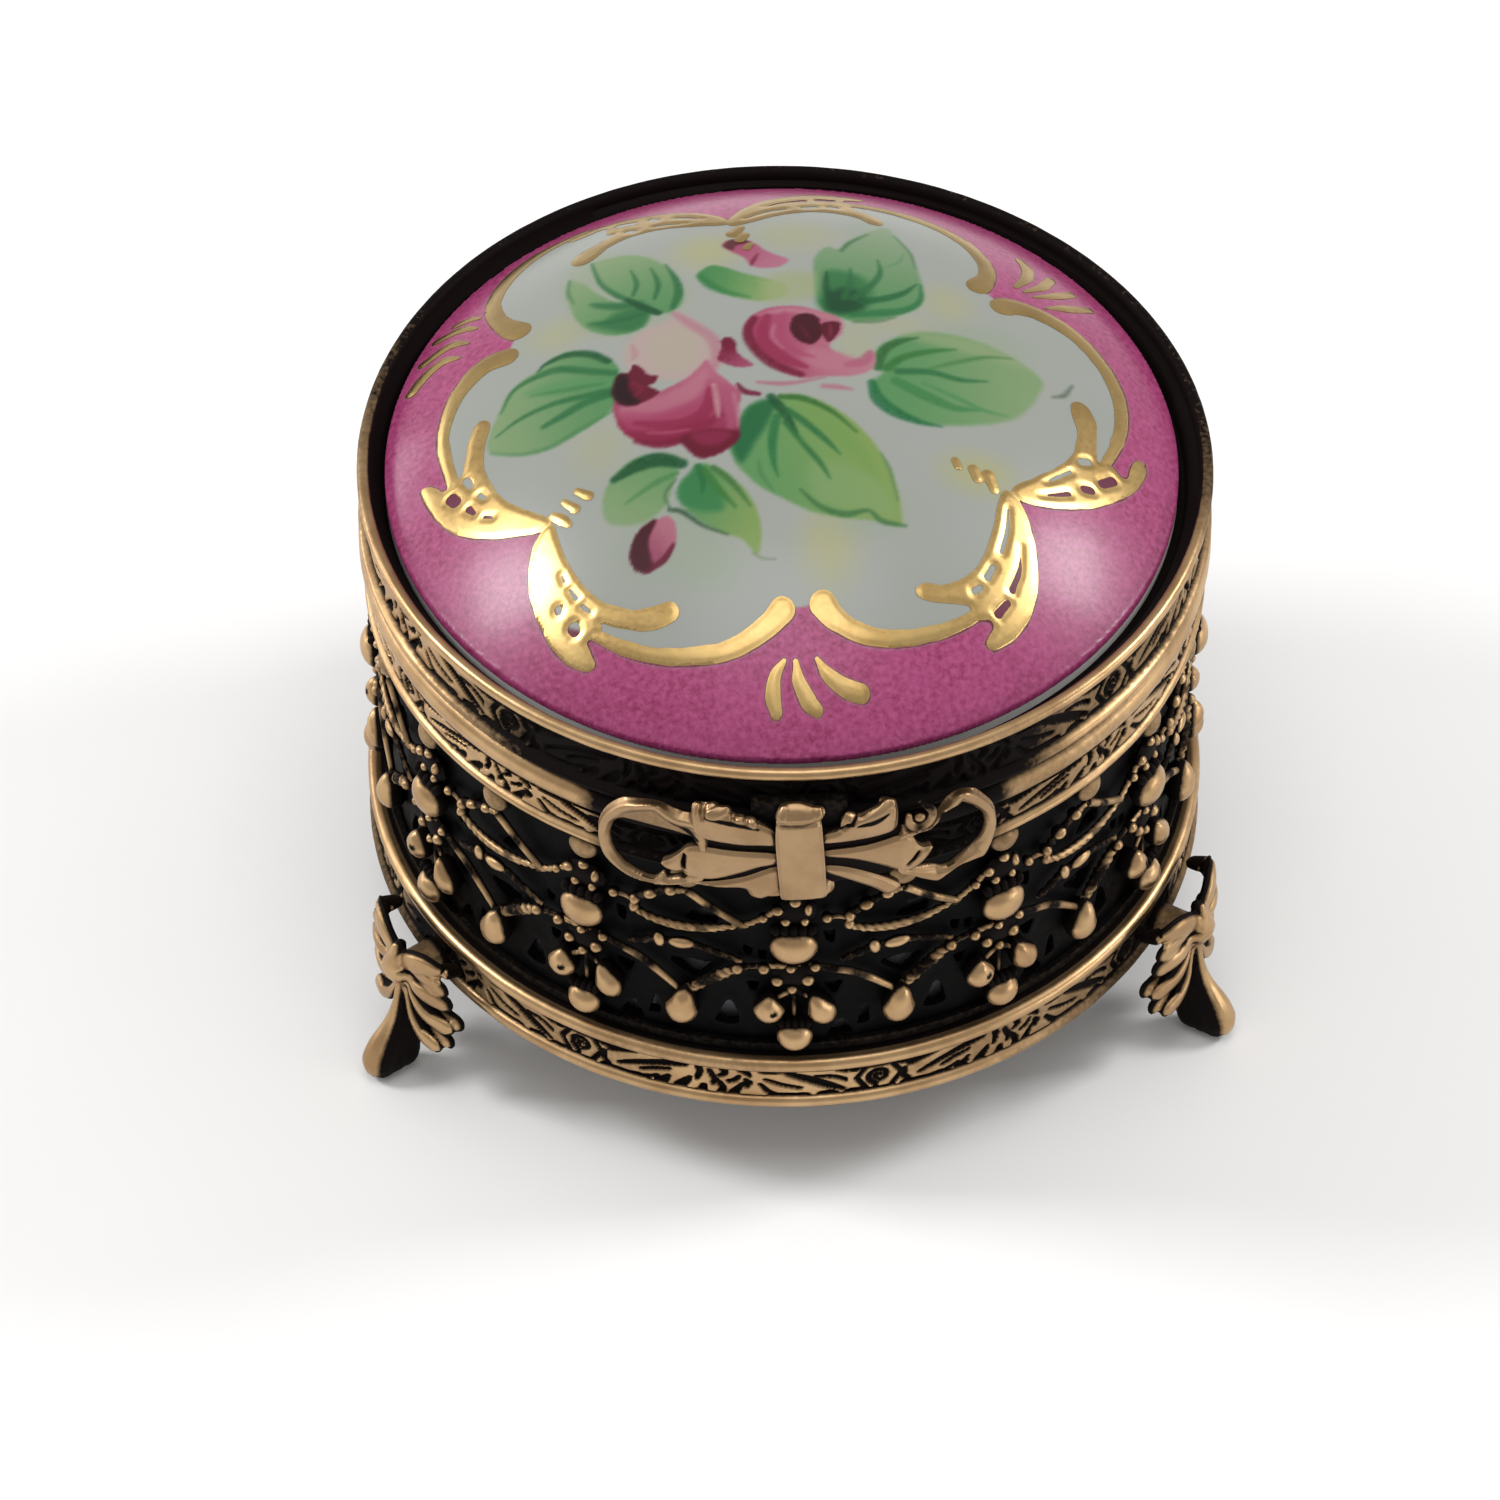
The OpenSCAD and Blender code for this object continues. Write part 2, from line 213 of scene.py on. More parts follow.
def sheet(pile, x, y, field, front, back, place, mark=0.0, wrap=False):
    """A solid relief over the area where field is positive. x and y are the grid,
    front and back the two heights on it, place turns (x, y, height) into points.
    With wrap the last column is the first one again, all the way round the jar."""
    rows, cols = field.shape
    step = x[0, 1] - x[0, 0]
    middle = (field[:-1, :-1] + field[1:, :-1] + field[:-1, 1:] + field[1:, 1:]) / 4
    keep = middle > 0
    used = np.zeros((rows, cols), int)
    for di in (0, 1):
        for dj in (0, 1):
            used[di:rows - 1 + di, dj:cols - 1 + dj] += keep
    if wrap:
        used[:, 0] += used[:, -1]
        used[:, -1] = used[:, 0]
    edge = (used > 0) & (used < 4)
    gy, gx = np.gradient(field, step)
    slope = np.maximum(gx ** 2 + gy ** 2, 0.05)
    shift = np.clip(field / slope, -0.7 * step, 0.7 * step)
    px = np.where(edge, x - np.clip(shift * gx, -0.7 * step, 0.7 * step), x)
    py = np.where(edge, y - np.clip(shift * gy, -0.7 * step, 0.7 * step), y)
    index = np.full((rows, cols), -1)
    on = used > 0
    if wrap:
        on[:, -1] = False
    index[on] = np.arange(on.sum())
    if wrap:
        index[:, -1] = index[:, 0]
    count = int(on.sum())
    marks = np.broadcast_to(mark, field.shape)[on]
    top = place(px[on], py[on], front[on])
    under = place(px[on], py[on], back[on])
    i, j = np.nonzero(keep)
    a, b, c, d = index[i, j], index[i, j + 1], index[i + 1, j + 1], index[i + 1, j]
    faces = np.stack([a, b, c, d], 1)
    lower = faces[:, ::-1] + count
    walls = []
    solid = np.pad(keep, 1)
    if wrap:
        solid[:, 0], solid[:, -1] = solid[:, -2], solid[:, 1]
    for p, q, di, dj in ((a, b, 0, 1), (b, c, 1, 2), (c, d, 2, 1), (d, a, 1, 0)):
        open_side = ~solid[i + di, j + dj]
        walls.append(np.stack([q[open_side], p[open_side], p[open_side] + count, q[open_side] + count], 1))
    pile.add(np.vstack([top, under]), quads=np.vstack([faces, lower] + walls),
             mark=np.concatenate([marks, np.maximum(marks, 0.9)]))


# Wall space: x millimetres along the wall, y height, n millimetres out from it.
TRACE_R = 30.8


def on_wall(angle):
    def place(x, y, n):
        a = math.radians(angle) + np.asarray(x) / TRACE_R
        r = WALL_R + np.asarray(n)
        return np.stack([r * np.cos(a), r * np.sin(a), np.asarray(y) + 0 * a], -1)
    return place


def blob(pile, place, x, y, n, rx, ry, rn, tilt=0.0, rings=8, sides=14, shape=None, mark=None):
    """A ball in wall space with its pole outward. shape(t, phi) scales it,
    t from 0 at the front to 1 at the back; mark(u, v, t) blackens it."""
    t = (np.arange(1, rings) / rings)[:, None]
    phi = (np.arange(sides) / sides * 2 * np.pi)[None, :]
    scale = shape(t, phi) if shape else 1.0
    u = rx * np.sin(np.pi * t) * np.cos(phi) * scale
    v = ry * np.sin(np.pi * t) * np.sin(phi) * scale
    w = rn * np.cos(np.pi * t) + 0 * phi
    u, v, w = u.ravel(), v.ravel(), w.ravel()
    u, v, w = (np.concatenate([[0], k, [0]]) for k in (u, v, w))
    w[0], w[-1] = rn, -rn
    c, s = math.cos(math.radians(tilt)), math.sin(math.radians(tilt))
    pts = place(x + u * c - v * s, y + u * s + v * c, n + w)
    k = np.arange(sides)
    kn = (k + 1) % sides
    quads = [np.stack([1 + r * sides + k, 1 + (r + 1) * sides + k, 1 + (r + 1) * sides + kn,
                       1 + r * sides + kn], 1)
             for r in range(rings - 2)]
    last = 1 + (rings - 2) * sides
    tris = np.vstack([np.stack([0 * k, 1 + k, 1 + kn], 1),
                      np.stack([0 * k + last + sides, last + kn, last + k], 1)])
    depth = np.concatenate([[0], np.repeat(t.ravel(), sides), [1]])
    marks = mark(u, v, depth) if mark else smoothstep(0.30, 0.48, depth)
    pile.add(pts, np.vstack(quads), tris, marks)


def wire(pile, place, path, sides=8, twist=0.0, per=6):
    """A round wire in wall space; path rows are x, y, n, radius. A twist of k
    gives a two-strand rope with k turns a millimetre."""
    p = curve(path, per)
    run = np.concatenate([[0], np.cumsum(np.hypot(*np.diff(p[:, :2], axis=0).T))])
    ahead = np.gradient(p[:, :2], axis=0)
    ahead /= np.maximum(np.hypot(*ahead.T), 1e-9)[:, None]
    across = np.stack([-ahead[:, 1], ahead[:, 0]], 1)
    phi = np.arange(sides) / sides * 2 * np.pi
    radius = p[:, 3:4] * np.ones(sides)
    if twist:
        radius = radius * (1 + 0.22 * np.cos(2 * (phi[None, :] - 2 * np.pi * twist * run[:, None])))
    side, out = radius * np.cos(phi), radius * np.sin(phi)
    x = p[:, 0:1] + across[:, 0:1] * side
    y = p[:, 1:2] + across[:, 1:2] * side
    n = p[:, 2:3] + out
    pts = place(x.ravel(), y.ravel(), n.ravel())
    ends = np.vstack([place(p[0:1, 0] - ahead[0, 0] * 0.1, p[0:1, 1] - ahead[0, 1] * 0.1, p[0:1, 2]),
                      place(p[-1:, 0] + ahead[-1, 0] * 0.1, p[-1:, 1] + ahead[-1, 1] * 0.1, p[-1:, 2])])
    k = np.arange(sides)
    kn = (k + 1) % sides
    rows = len(p)
    quads = np.vstack([np.stack([r * sides + k, (r + 1) * sides + k, (r + 1) * sides + kn, r * sides + kn], 1)
                       for r in range(rows - 1)])
    first, last = rows * sides, rows * sides + 1
    tris = np.vstack([np.stack([0 * k + first, k, kn], 1),
                      np.stack([0 * k + last, (rows - 1) * sides + kn, (rows - 1) * sides + k], 1)])
    marks = np.concatenate([np.tile(smoothstep(0.45, -0.35, np.sin(phi)), rows), [0, 0]])
    darkening = 0.62 * smoothstep(0.35, 0.62, value_noise(x.ravel(), y.ravel(), 1.1, 31))
    marks[:-2] = np.maximum(marks[:-2], 0.16 + darkening)
    if twist:
        marks[:-2] = np.maximum(marks[:-2], 0.7 * smoothstep(0.9, 0.75, (radius / p[:, 3:4]).ravel()))
    pile.add(np.vstack([pts, ends]), quads, tris, marks)


# ---- Materials ---------------------------------------------------------------

def new_material(name, specular=0.3):
    mat = bpy.data.materials.new(name)
    mat.use_nodes = True
    nodes, links = mat.node_tree.nodes, mat.node_tree.links
    nodes["Principled BSDF"].inputs["Specular IOR Level"].default_value = specular
    return mat, nodes, links, nodes["Principled BSDF"]


def node(nodes, kind, **inputs):
    n = nodes.new(kind)
    for key, value in inputs.items():
        n.inputs[key.replace("_", " ")].default_value = value
    return n


def noise(nodes, links, coords, scale, detail=3.0, rough=0.55):
    n = node(nodes, "ShaderNodeTexNoise", Scale=scale, Detail=detail, Roughness=rough)
    links.new(coords.outputs["Object"], n.inputs["Vector"])
    return n.outputs["Fac"]


def ramp(nodes, links, value, low, high, to_low=0.0, to_high=1.0):
    n = nodes.new("ShaderNodeMapRange")
    n.inputs["From Min"].default_value = low
    n.inputs["From Max"].default_value = high
    n.inputs["To Min"].default_value = to_low
    n.inputs["To Max"].default_value = to_high
    links.new(value, n.inputs["Value"])
    return n.outputs["Result"]


def maths(nodes, links, kind, a, b, clamp=False):
    n = nodes.new("ShaderNodeMath")
    n.operation = kind
    n.use_clamp = clamp
    for socket, value in zip(n.inputs, (a, b)):
        if isinstance(value, (int, float)):
            socket.default_value = value
        else:
            links.new(value, socket)
    return n.outputs[0]


def mixed(nodes, links, fac, a, b):
    n = nodes.new("ShaderNodeMix")
    n.data_type = "RGBA"
    links.new(fac, n.inputs[0])
    for socket, value in ((n.inputs[6], a), (n.inputs[7], b)):
        if isinstance(value, tuple):
            socket.default_value = (*value, 1.0)
        else:
            links.new(value, socket)
    return n.outputs[2]


def aged_metal(name, bright, warm, oxide, gloss=(0.34, 0.62), black=0.0, crevice=0.9, grain=0.00002):
    """Polished metal that turns to a matt oxide in its recesses. black adds oxide all over."""
    mat, nodes, links, shader = new_material(name, 0.06)
    coords = nodes.new("ShaderNodeTexCoord")
    # The point attribute read here holds the oxide of the recesses and also painted shade on the bands, feet
    # and bow.
    attribute = nodes.new("ShaderNodeAttribute")
    attribute.attribute_name = "recess_and_shade"
    blotch = noise(nodes, links, coords, 260.0, 4.0)
    speck = noise(nodes, links, coords, 2300.0, 3.0)
    fine = noise(nodes, links, coords, 5200.0, 2.0)
    shade = nodes.new("ShaderNodeAmbientOcclusion")
    shade.samples = 6
    shade.inputs["Distance"].default_value = 0.0012
    hollow = ramp(nodes, links, shade.outputs["AO"], 0.80, 0.30, 0.0, crevice)
    worn = maths(nodes, links, "ADD", attribute.outputs["Fac"], hollow)
    worn = maths(nodes, links, "ADD", worn, black)
    uneven = maths(nodes, links, "MULTIPLY", maths(nodes, links, "SUBTRACT", speck, 0.5), 0.40)
    worn = maths(nodes, links, "ADD", worn, uneven)
    fac = ramp(nodes, links, worn, 0.12, 0.78)
    tone = mixed(nodes, links, ramp(nodes, links, blotch, 0.38, 0.66), bright, warm)
    links.new(mixed(nodes, links, fac, tone, oxide), shader.inputs["Base Color"])
    links.new(ramp(nodes, links, fac, 0.0, 1.0, 1.0, 0.0), shader.inputs["Metallic"])
    rough = maths(nodes, links, "ADD", ramp(nodes, links, fac, 0.0, 1.0, *gloss),
                  ramp(nodes, links, speck, 0.3, 0.7, -0.03, 0.04))
    links.new(rough, shader.inputs["Roughness"])
    bump = node(nodes, "ShaderNodeBump", Strength=0.35, Distance=grain)
    links.new(maths(nodes, links, "ADD", speck, maths(nodes, links, "MULTIPLY", fine, 0.5)),
              bump.inputs["Height"])
    links.new(bump.outputs["Normal"], shader.inputs["Normal"])
    return mat


brass = aged_metal("antique_brass", (0.55, 0.36, 0.185), (0.40, 0.245, 0.12), (0.0045, 0.0025, 0.0022))
bow_brass = aged_metal("bow_brass", (0.42, 0.275, 0.15), (0.33, 0.205, 0.105), (0.0045, 0.0025, 0.0022),
                       gloss=(0.38, 0.62))
blackened = aged_metal("blackened_brass", (0.16, 0.11, 0.07), (0.1, 0.07, 0.05), (0.0022, 0.0018, 0.0018),
                       gloss=(0.4, 0.6), black=0.75)
pin_steel = aged_metal("hinge_steel", (0.60, 0.56, 0.50), (0.45, 0.42, 0.38), (0.02, 0.018, 0.017),
                       gloss=(0.3, 0.55), crevice=0.7)
gilding = aged_metal("gilding", (0.56, 0.385, 0.155), (0.46, 0.30, 0.11), (0.20, 0.11, 0.035),
                     gloss=(0.30, 0.4), crevice=0.0, grain=0.000006)


def liner_material():
    mat, nodes, links, shader = new_material("dark_liner")
    coords = nodes.new("ShaderNodeTexCoord")
    soft = noise(nodes, links, coords, 700.0, 4.0)
    links.new(mixed(nodes, links, soft, (0.40, 0.39, 0.43), (0.58, 0.56, 0.61)), shader.inputs["Base Color"])
    links.new(ramp(nodes, links, soft, 0.3, 0.7, 0.32, 0.5), shader.inputs["Roughness"])
    shader.inputs["Metallic"].default_value = 0.5
    bump = node(nodes, "ShaderNodeBump", Strength=0.4, Distance=0.00004)
    links.new(soft, bump.inputs["Height"])
    links.new(bump.outputs["Normal"], shader.inputs["Normal"])
    return mat


def porcelain_material():
    """Painted porcelain: the painting is a colour on the points, the enamel
    ground is mottled by noise where 'enamel' is 1, and a clear glaze covers all."""
    mat, nodes, links, shader = new_material("painted_porcelain")
    coords = nodes.new("ShaderNodeTexCoord")
    paint = nodes.new("ShaderNodeAttribute")
    paint.attribute_name = "paint"
    enamel = nodes.new("ShaderNodeAttribute")
    enamel.attribute_name = "enamel"
    mottle = noise(nodes, links, coords, 2300.0, 3.0, 0.6)
    cloud = noise(nodes, links, coords, 240.0, 3.0, 0.5)
    pink = mixed(nodes, links, ramp(nodes, links, mottle, 0.32, 0.68),
                 (0.225, 0.020, 0.082), (0.385, 0.066, 0.185))
    pink = mixed(nodes, links, ramp(nodes, links, cloud, 0.4, 0.75, 0.0, 0.35), pink, (0.38, 0.065, 0.19))
    links.new(mixed(nodes, links, enamel.outputs["Fac"], paint.outputs["Color"], pink),
              shader.inputs["Base Color"])
    shader.inputs["Roughness"].default_value = 0.34
    shader.inputs["Coat Weight"].default_value = 0.20
    links.new(ramp(nodes, links, cloud, 0.3, 0.7, 0.16, 0.24), shader.inputs["Coat Roughness"])
    bump = node(nodes, "ShaderNodeBump", Strength=0.12, Distance=0.00003)
    links.new(mottle, bump.inputs["Height"])
    links.new(bump.outputs["Normal"], shader.inputs["Normal"])
    return mat


def bisque_material():
    """Unpainted underside and edge of the porcelain."""
    mat, nodes, links, shader = new_material("bare_porcelain")
    coords = nodes.new("ShaderNodeTexCoord")
    soft = noise(nodes, links, coords, 900.0, 4.0)
    links.new(mixed(nodes, links, soft, (0.62, 0.60, 0.56), (0.76, 0.75, 0.71)), shader.inputs["Base Color"])
    links.new(ramp(nodes, links, soft, 0.3, 0.7, 0.42, 0.6), shader.inputs["Roughness"])
    return mat


liner = liner_material()
porcelain = porcelain_material()
bisque = bisque_material()


# ---- Chased bands ------------------------------------------------------------

# One repeat of the chased ornament, in millimetres: cut lines as rows of
# along, up, half width. A rosette with a spiral, a long scalloped leaf, a flower, a split leaf.
REPEAT = 23.46
DIP_ANGLE = 55.0
ROSETTE = [
    [(-1.75, 0.0, .10), (-0.95, 1.32, .10), (0.95, 1.32, .10), (1.75, 0.0, .10), (0.95, -1.35, .10),
     (-0.95, -1.35, .10), (-1.75, 0.0, .10)],
]
SPIRAL = [(r * math.cos(a), r * math.sin(a), .05 + .09 * r) for a, r in
        zip(np.linspace(0.6, 3.4 * math.pi, 26), np.linspace(0.12, 0.92, 26))]
CUTS = [
    [(-2.1, 1.35, .30), (-1.55, 1.25, .16), (-1.2, 1.1, .05)],
    [(2.1, 1.35, .28), (1.55, 1.25, .16), (1.2, 1.1, .05)],
    [(-2.2, -1.3, .20), (-1.3, -1.15, .05)],
    [(2.0, 0.3, .10), (1.9, -0.5, .16), (2.3, -0.95, .10)],
    [(3.18, -0.55, .06), (4.6, 0.1, .17), (6.6, 0.8, .22), (8.6, 1.2, .10)],
    [(2.5, 0.9, .30), (3.6, 1.25, .26), (4.6, 1.4, .10)],
    [(1.9, -1.3, .12), (3.4, -1.35, .16), (5.6, -1.1, .10), (6.3, -0.75, .05)],
    [(6.5, -1.35, .30), (6.93, -0.95, .24), (7.2, -0.5, .07)],
    [(8.1, -1.3, .30), (8.6, -0.7, .25), (8.9, -0.2, .07)],
    [(5.0, -0.45, .05), (6.1, -0.05, .09), (7.3, 0.3, .05)],
    [(9.55, 1.35, .16), (9.65, 0.6, .15), (9.45, -0.2, .08)],
    [(9.9, -1.35, .25), (10.0, -0.8, .10)],
    [(10.4, 0.95, .09), (10.65, 0.3, .14), (10.9, -0.15, .17), (10.7, -0.45, .12)],
    [(11.2, -0.3, .10), (11.45, -0.95, .18), (11.3, -1.35, .14)],
    [(11.5, 1.3, .22), (11.6, 0.8, .14), (11.2, 0.45, .07)],
    [(11.9, -0.05, .08), (12.4, 0.15, .12), (12.7, 0.6, .06)],
    [(12.3, -1.3, .25), (12.7, -0.7, .15), (13.0, -0.2, .07)],
    [(13.2, 0.25, .07), (13.4, -0.1, .20), (13.3, -0.5, .10)],
    [(12.9, 1.4, .25), (13.3, 1.0, .13), (13.5, 0.7, .05)],
    [(14.3, -0.2, .05), (15.3, -1.25, .15), (17.0, -1.35, .19), (17.9, -1.3, .05)],
    [(16.3, 1.05, .06), (17.2, 0.75, .24), (18.6, 0.1, .32), (20.0, -0.65, .22), (20.7, -0.95, .05)],
    [(14.4, 1.35, .15), (15.6, 1.42, .22), (16.9, 1.35, .05)],
    [(19.0, -1.35, .20), (19.6, -1.25, .18), (20.1, -1.3, .05)],
    [(18.6, 0.75, .05), (20.0, 0.55, .10), (21.3, -0.2, .06)],
    [(20.2, 1.35, .05), (21.2, 1.1, .20), (22.0, 0.6, .18), (22.3, -0.2, .06)],
    [(21.0, -1.35, .14), (21.9, -1.2, .22), (22.3, -0.8, .07)],
    [(14.7, 0.35, .04), (15.8, -0.1, .09), (17.4, -0.55, .06)],
]


def chased(along, up):
    """Depth of the ornament, 0 on the leaves and 1 in the cuts."""
    along = np.mod(along + 2.5, REPEAT) - 2.5
    depth = np.zeros(along.shape)
    for path in CUTS + ROSETTE + [SPIRAL]:
        smooth = curve(path, 4) if len(path) > 2 and path not in ROSETTE else np.array(path)
        reach = 0.6 + smooth[:, 2].max()
        near = (along > smooth[:, 0].min() - reach) & (along < smooth[:, 0].max() + reach)
        if not near.any():
            continue
        inside = stroke_field(along[near], up[near], smooth)
        depth[near] = np.maximum(depth[near], smoothstep(-0.20, 0.0, inside))
    pillow = 0.10 * value_noise(along, up, 0.9, 3)
    return depth, pillow


def arc(rc, zc, rho, start, stop, steps):
    a = np.radians(np.linspace(start, stop, steps))
    return [(rc + rho * math.cos(k), zc + rho * math.sin(k), 0.0, 0.0) for k in a]


def zone_rows(r, z_low, z_high, rows):
    """Chased rows, with a dark groove at either edge."""
    out = [(r - 0.28, z_low, 0.0, 0.9)]
    out += [(r, z, 1.0, 0.0) for z in np.linspace(z_low + 0.1, z_high - 0.1, rows)]
    return out + [(r - 0.28, z_high, 0.0, 0.9)]


def chased_band(name, section, zone_mid, scale_up, first_rosette, degrees, body, node_name, shade_by_angle, dip=0.0,
                cols=1500):
    """A closed ring. Section rows are radius, height, share of chasing, mark.
    The angle tables give the painted shade by angle of the lower bead, chased zone and upper bead.
    """
    section = np.array(section)
    angle = np.arange(cols) / cols * 360.0
    seam = 90.0
    turned = np.mod(angle - seam, 360.0) + seam
    along = (turned - first_rosette) / degrees * REPEAT
    A, Z = np.meshgrid(along, section[:, 1])
    depth, pillow = chased(A, (Z - zone_mid) * scale_up)
    share = section[:, 2:3]
    # The lid's rim is lower at the back, most of all at DIP_ANGLE.
    back = np.maximum(0, np.cos(np.radians(angle - DIP_ANGLE))) ** 1.3
    Z = Z - dip * back[None, :] * smoothstep(BEZEL_HIGH - 1.3, BEZEL_HIGH - .9, Z)
    wobble = 0.025 * (value_noise(np.cos(np.radians(angle)) * 40 + 200, np.sin(np.radians(angle)) * 40 + 200,
                                  1.3, 5) - 0.5)
    r = section[:, 0:1] - share * (0.36 * depth + pillow * 0.5) + wobble[None, :]
    marks = np.maximum(share * smoothstep(0.15, 0.75, depth), section[:, 3:4])
    # Painted shade by angle from the tables, added onto the outer surfaces of the band.
    low, middle, top = (np.interp(np.mod(angle - 180, 360) + 180, *zip(*p))[None, :] for p in shade_by_angle)
    z = section[:, 1:2]
    chased_z = section[section[:, 2] > 0, 1]
    darkening = np.where(z < chased_z.min(), low, np.where(z > chased_z.max(), top, middle))
    marks = np.clip(marks + darkening * (section[:, 0:1] > RING_R - 1.5), 0, 1)
    a = np.radians(angle)[None, :]
    pts = np.stack([r * np.cos(a), r * np.sin(a), Z], -1).reshape(-1, 3)
    pile = Pile()
    pile.add(pts, ring_quads(len(section), cols, True), mark=marks.ravel())
    return pile.piece(name, body, "antique_brass", brass, (node_name,))


# Painted shade on each band by angle: lower bead, chased zone, upper bead. The bands are painted dark
# in the shade behind the bow and where they would reflect dark surroundings, are darker round the back, and
# stay bright where the side lamps reflect.
LID_SHADE_BY_ANGLE = (
    [(180, .35), (190, .05), (205, .05), (212, .30), (222, .50), (230, .75), (238, .95), (300, .95),
     (306, .45), (312, .05),
     (324, .05), (332, .40), (342, .25), (360, .40), (450, .45), (540, .35)],
    [(180, .30), (190, .05), (212, .05), (220, .28), (228, .60), (236, .95), (298, 1.0), (303, .80),
     (309, .50), (330, .45),
     (342, .30), (360, .35), (450, .40), (540, .30)],
    [(180, .45), (190, .12), (200, 0), (290, 0), (298, .28), (306, .25), (312, 0), (330, 0), (342, .30),
     (352, .65), (370, .80),
     (500, .85), (525, .70), (540, .45)])
COLLAR_SHADE_BY_ANGLE = (
    [(180, .2), (200, 0), (240, 0), (244, .8), (296, .8), (300, .1), (360, .25), (540, .2)],
    [(180, .25), (200, .05), (240, .1), (244, 1.0), (296, 1.0), (300, .40), (314, .30), (326, .08),
     (345, .10), (380, .3),
     (540, .25)],
    [(180, .2), (200, 0), (239, 0), (243, 1.0), (297, 1.0), (300, .32), (316, .25), (325, .05), (345, .05),
     (380, .3), (540, .2)])
BASE_SHADE_BY_ANGLE = (
    [(180, .6), (214, .70), (222, .10), (230, 0), (285, 0), (298, .18), (310, .45), (320, .70), (345, .5),
     (360, .45), (540, .6)],
    [(180, .4), (200, .35), (206, .80), (216, .80), (222, .28), (248, .22), (256, .05), (270, .05),
     (282, .18), (300, .28),
     (316, .45), (326, .80), (336, .80), (342, .15), (380, .3), (540, .4)],
    [(180, .1), (200, 0), (235, .05), (250, .22), (264, .20), (276, .05), (340, 0), (350, .15), (380, .2),
     (540, .1)])


base_section = ([(29.3, 0.25, 0, 0), (31.0, 0.12, 0, 0)] + arc(31.40, 0.58, 0.58, -95, 62, 9)
                + zone_rows(31.60, 1.16, 3.96, 25) + arc(31.38, 4.62, 0.62, -62, 120, 11)
                + [(30.9, 5.12, 0, .9), (30.5, 5.12, 0, .9), (30.45, 5.36, 0, .8), (29.3, 5.36, 0, .8)])
chased_band("base_band_chased", base_section, 2.55, 1.0, 239.3, 42.0, "jar", "base_band", BASE_SHADE_BY_ANGLE)

collar_low = WALL_HIGH
collar_section = ([(28.8, collar_low + .02, 0, .7), (30.9, collar_low + .02, 0, .8)]
                  + arc(31.35, collar_low + .36, 0.34, -100, 75, 8)
                  + zone_rows(31.45, collar_low + .98, collar_low + 3.35, 20)
                  + arc(30.75, collar_low + 4.72, 1.24, -72, 76, 14)
                  + [(30.6, COLLAR_HIGH - .04, 0, .6), (28.8, COLLAR_HIGH - .04, 0, .6)])
chased_band("collar_chased", collar_section, collar_low + 2.16, 1.18, 205.6, 45.0, "jar", "collar_band",
            COLLAR_SHADE_BY_ANGLE)

bezel_section = ([(30.3, BEZEL_LOW + .04, 0, .7), (31.2, BEZEL_LOW + .04, 0, .7)]
                 + arc(31.60, BEZEL_LOW + .40, 0.36, -95, 70, 8)
                 + zone_rows(31.42, BEZEL_LOW + 1.0, BEZEL_HIGH - 1.28, 24)
                 + arc(31.44, BEZEL_HIGH - .50, 0.50, -62, 118, 14)
                 + [(30.98, BEZEL_HIGH - .34, 0, .8), (30.9, BEZEL_HIGH - .8, 0, 1),
                    (30.28, BEZEL_HIGH - 1.3, 0, 1), (29.85, BEZEL_LOW + 3.2, 0, 1),
                    (27.2, BEZEL_LOW + 3.05, 0, 1),
                    (26.5, BEZEL_LOW + 3.0, 0, .8), (26.5, BEZEL_LOW + 2.2, 0, .8),
                    (30.2, BEZEL_LOW + 2.2, 0, .8)])
chased_band("bezel_chased", bezel_section, (BEZEL_LOW + BEZEL_HIGH) / 2 - .15, 0.88, 228.4, 45.0, "lid",
            "lid_bezel",
            LID_SHADE_BY_ANGLE, dip=0.55)


# ---- Pierced wall --------------------------------------------------------------

UNITS = 12
UNIT = 360.0 / UNITS
UNIT_MM = math.radians(UNIT) * TRACE_R

# Windows of one unit: outlines in wall space, x from the unit's middle.
WINDOWS = [
    [(-6.35, 7.7), (-5.7, 9.4), (-5.15, 10.4), (-4.6, 9.2), (-4.35, 7.7), (-5.3, 7.45)],
    [(2.2, 6.35), (3.0, 8.0), (3.55, 8.2), (4.35, 6.5), (3.3, 6.2)],
    [(4.6, 7.3), (5.0, 9.3), (5.5, 9.2), (5.6, 7.5)],
    [(6.1, 14.1), (8.1, 14.3), (9.9, 14.1), (8.6, 12.3), (8.1, 12.2), (7.2, 13.0)],
    [(1.9, 12.5), (3.6, 12.4), (3.0, 11.1), (2.5, 11.2)],
    [(-3.9, 12.6), (-2.8, 12.5), (-3.1, 11.5), (-3.6, 11.6)],
    [(1.9, 18.3), (2.9, 18.1), (2.8, 16.7), (2.2, 16.9)],
    [(-3.0, 16.2), (-2.3, 16.1), (-2.4, 15.0), (-2.9, 15.1)],
    [(10.2, 19.6), (10.0, 18.6), (8.6, 18.5), (7.4, 18.7), (8.4, 20.0), (9.4, 20.2)],
    [(11.9, 16.6), (12.8, 16.4), (12.6, 15.4), (12.1, 15.5)],
]


